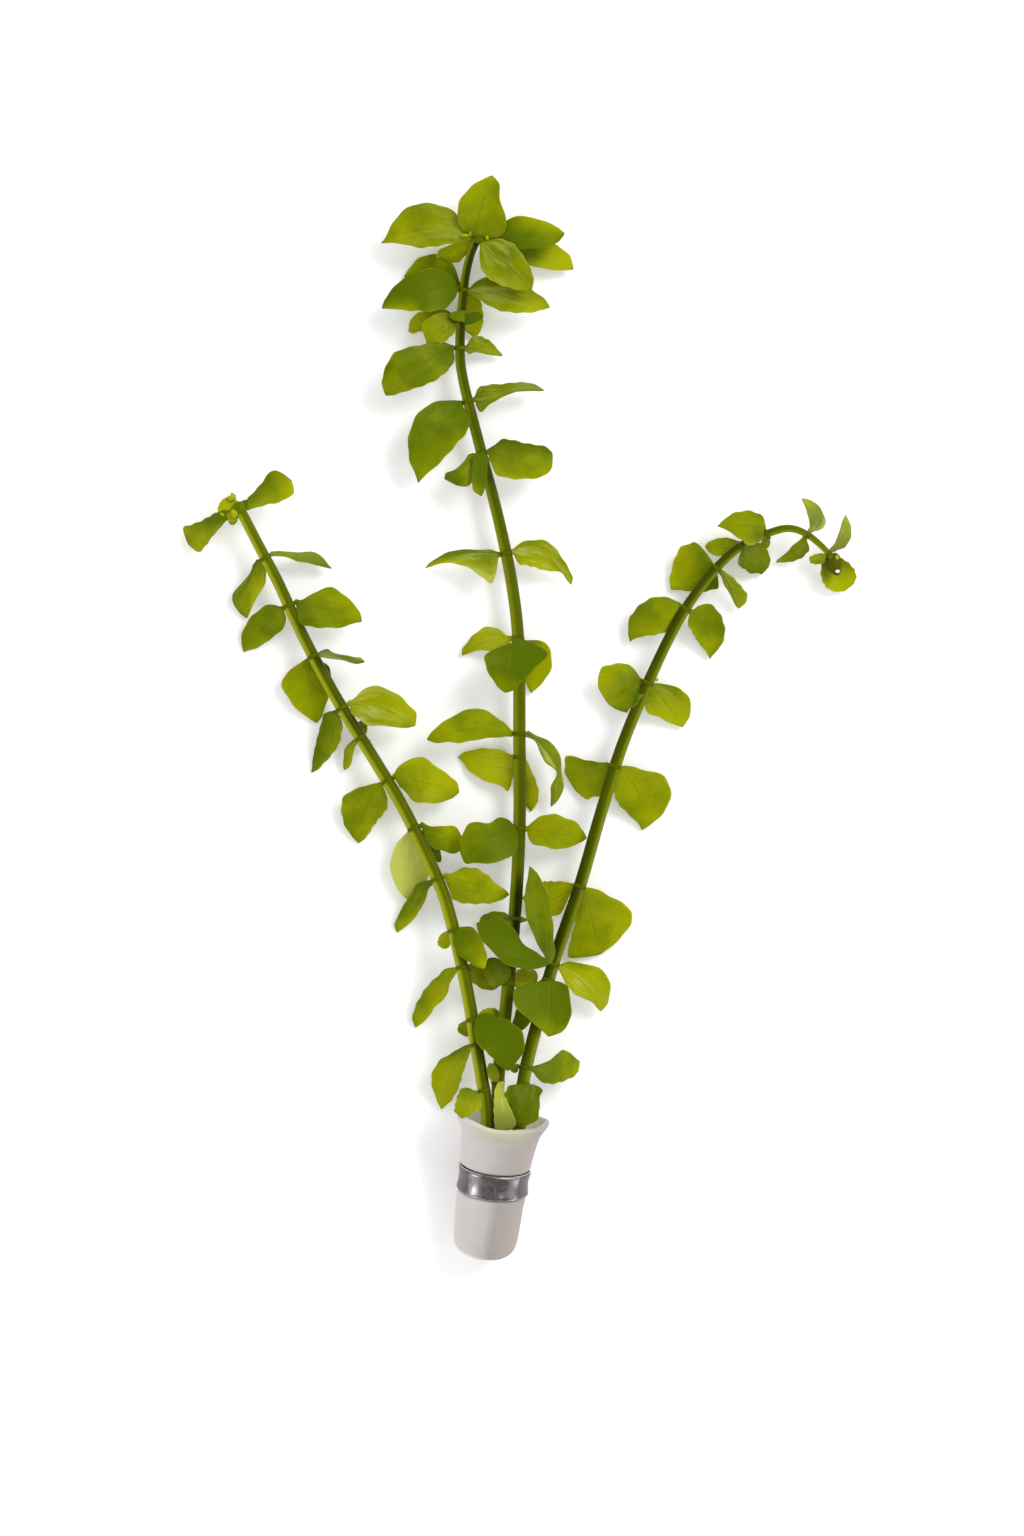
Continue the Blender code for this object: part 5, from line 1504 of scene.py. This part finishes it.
def foam_material():
    made, tree, shader = fresh_material("white_foam")
    place = object_place(tree)
    along = mark(tree, "along")
    slow = placed_group(tree, blotches, Place=place, Scale=110.0, Seed=9.0, Strength=0.7)
    # Painted shade: the foam is darker on its right side, and darker past the fold below the strip.
    painted_shade = sum_node(tree, "ADD", mark(tree, "painted_shade_side"), slow)
    painted_shade = fade(tree, painted_shade, -0.4, 1.1)
    past_fold = sum_node(tree, "MULTIPLY", mark(tree, "past_fold"), 0.3)
    lower = fade(tree, along, 0.25, 0.36, 1.0, 0.0)
    painted_shade = sum_node(tree, "ADD", painted_shade, sum_node(tree, "MULTIPLY", past_fold, lower))
    colour = mix(tree, painted_shade, FOAM_PALE, FOAM_PAINTED_SHADE)
    # Painted light: a green tinge near the mouth, where the plant shines through.
    facing = fade(tree, mark(tree, "facing"), 0.55, 1.0)
    shining = sum_node(tree, "MULTIPLY", fade(tree, along, 0.54, 0.66, 0.0, 0.5), facing)
    colour = mix(tree, shining, colour, FOAM_GREEN)
    # Painted light: the inside of the mouth is painted lighter to cancel its shade.
    inside = fade(tree, along, 0.7, 0.8, 0.0, 0.85)
    colour = mix(tree, inside, colour, FOAM_INSIDE_PAINTED_LIGHT)
    tree.links.new(colour, shader.inputs["Base Color"])
    shader.inputs["Roughness"].default_value = 0.62
    shader.inputs["Subsurface Weight"].default_value = 0.35
    shader.inputs["Subsurface Radius"].default_value = (1.0, 0.9, 0.8)
    shader.inputs["Subsurface Scale"].default_value = 2.0 * MM
    relief = placed_group(tree, fine_relief, Place=place, Cell_size=1800.0, Waviness=260.0)
    bump(tree, shader, relief, 0.3, 0.2 * MM)
    return made


white_foam = foam_material()
foam_piece.data.materials.append(white_foam)

# %% Build the lead material
LEAD_GREY = srgb(214, 207, 210)
LEAD_STAIN_AND_SHADE = srgb(106, 95, 98)
LEAD_BRIGHT = srgb(240, 234, 226)


def lead_material():
    made, tree, shader = fresh_material("dull_lead")
    place = object_place(tree)
    rim = mark(tree, "rim")
    slow = placed_group(tree, blotches, Place=place, Scale=520.0, Seed=4.0, Strength=0.75)
    turn = sum_node(tree, "MULTIPLY", mark(tree, "around"), math.tau)
    # Painted dark reflection: the strip is darker where it faces straight up.
    middle = sum_node(tree, "COSINE", sum_node(tree, "SUBTRACT", turn, 1.5))
    centre = fade(tree, middle, 0.84, 0.99, 0.0, 0.35)
    # Painted shade: the strip is darker towards its two sides, seen edgewise.
    ends = fade(tree, sum_node(tree, "SINE", turn), 0.6, 0.85, 0.6, 0.0)
    stain_and_shade = fade(tree, sum_node(tree, "ADD", slow, sum_node(tree, "ADD", centre, ends)), -0.1, 0.5)
    colour = mix(tree, stain_and_shade, LEAD_GREY, LEAD_STAIN_AND_SHADE)
    worn = fade(tree, rim, 0.88, 1.0, 0.0, 0.5)
    colour = mix(tree, worn, colour, LEAD_BRIGHT)
    tree.links.new(colour, shader.inputs["Base Color"])
    shader.inputs["Metallic"].default_value = 0.9
    dull = fade(tree, slow, -0.3, 0.4, 0.24, 0.42)
    dull = sum_node(tree, "MULTIPLY_ADD", worn, -0.14, dull)
    tree.links.new(dull, shader.inputs["Roughness"])
    relief = placed_group(tree, fine_relief, Place=place, Cell_size=2200.0, Waviness=700.0)
    bump(tree, shader, relief, 0.35, 0.1 * MM)
    return made


dull_lead = lead_material()
strip_piece.data.materials.append(dull_lead)
print("foam and lead are finished")

# %% [markdown]
# ## Hand every piece to the frame
#
# Each drawn piece stands for one CAD node: it rides on the one body and hides the solid it
# replaces. The foam collar is soft.

# %% Ride and replace
drawn = {**stem_pieces, **leaf_pieces, "foam_collar": foam_piece, "lead_strip": strip_piece}
for node, piece in drawn.items():
    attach(piece, "root")
    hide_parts(node)
print("pieces handed over:", len(drawn))

# %% Compare the box of the drawn pieces with the CAD box
drawn_box = [list(corner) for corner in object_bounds()]
for name, first, second in zip("lo hi".split(), cad_box, drawn_box):
    print(name, [round((b - a) / MM, 2) for a, b in zip(first, second)], "mm from the CAD box")
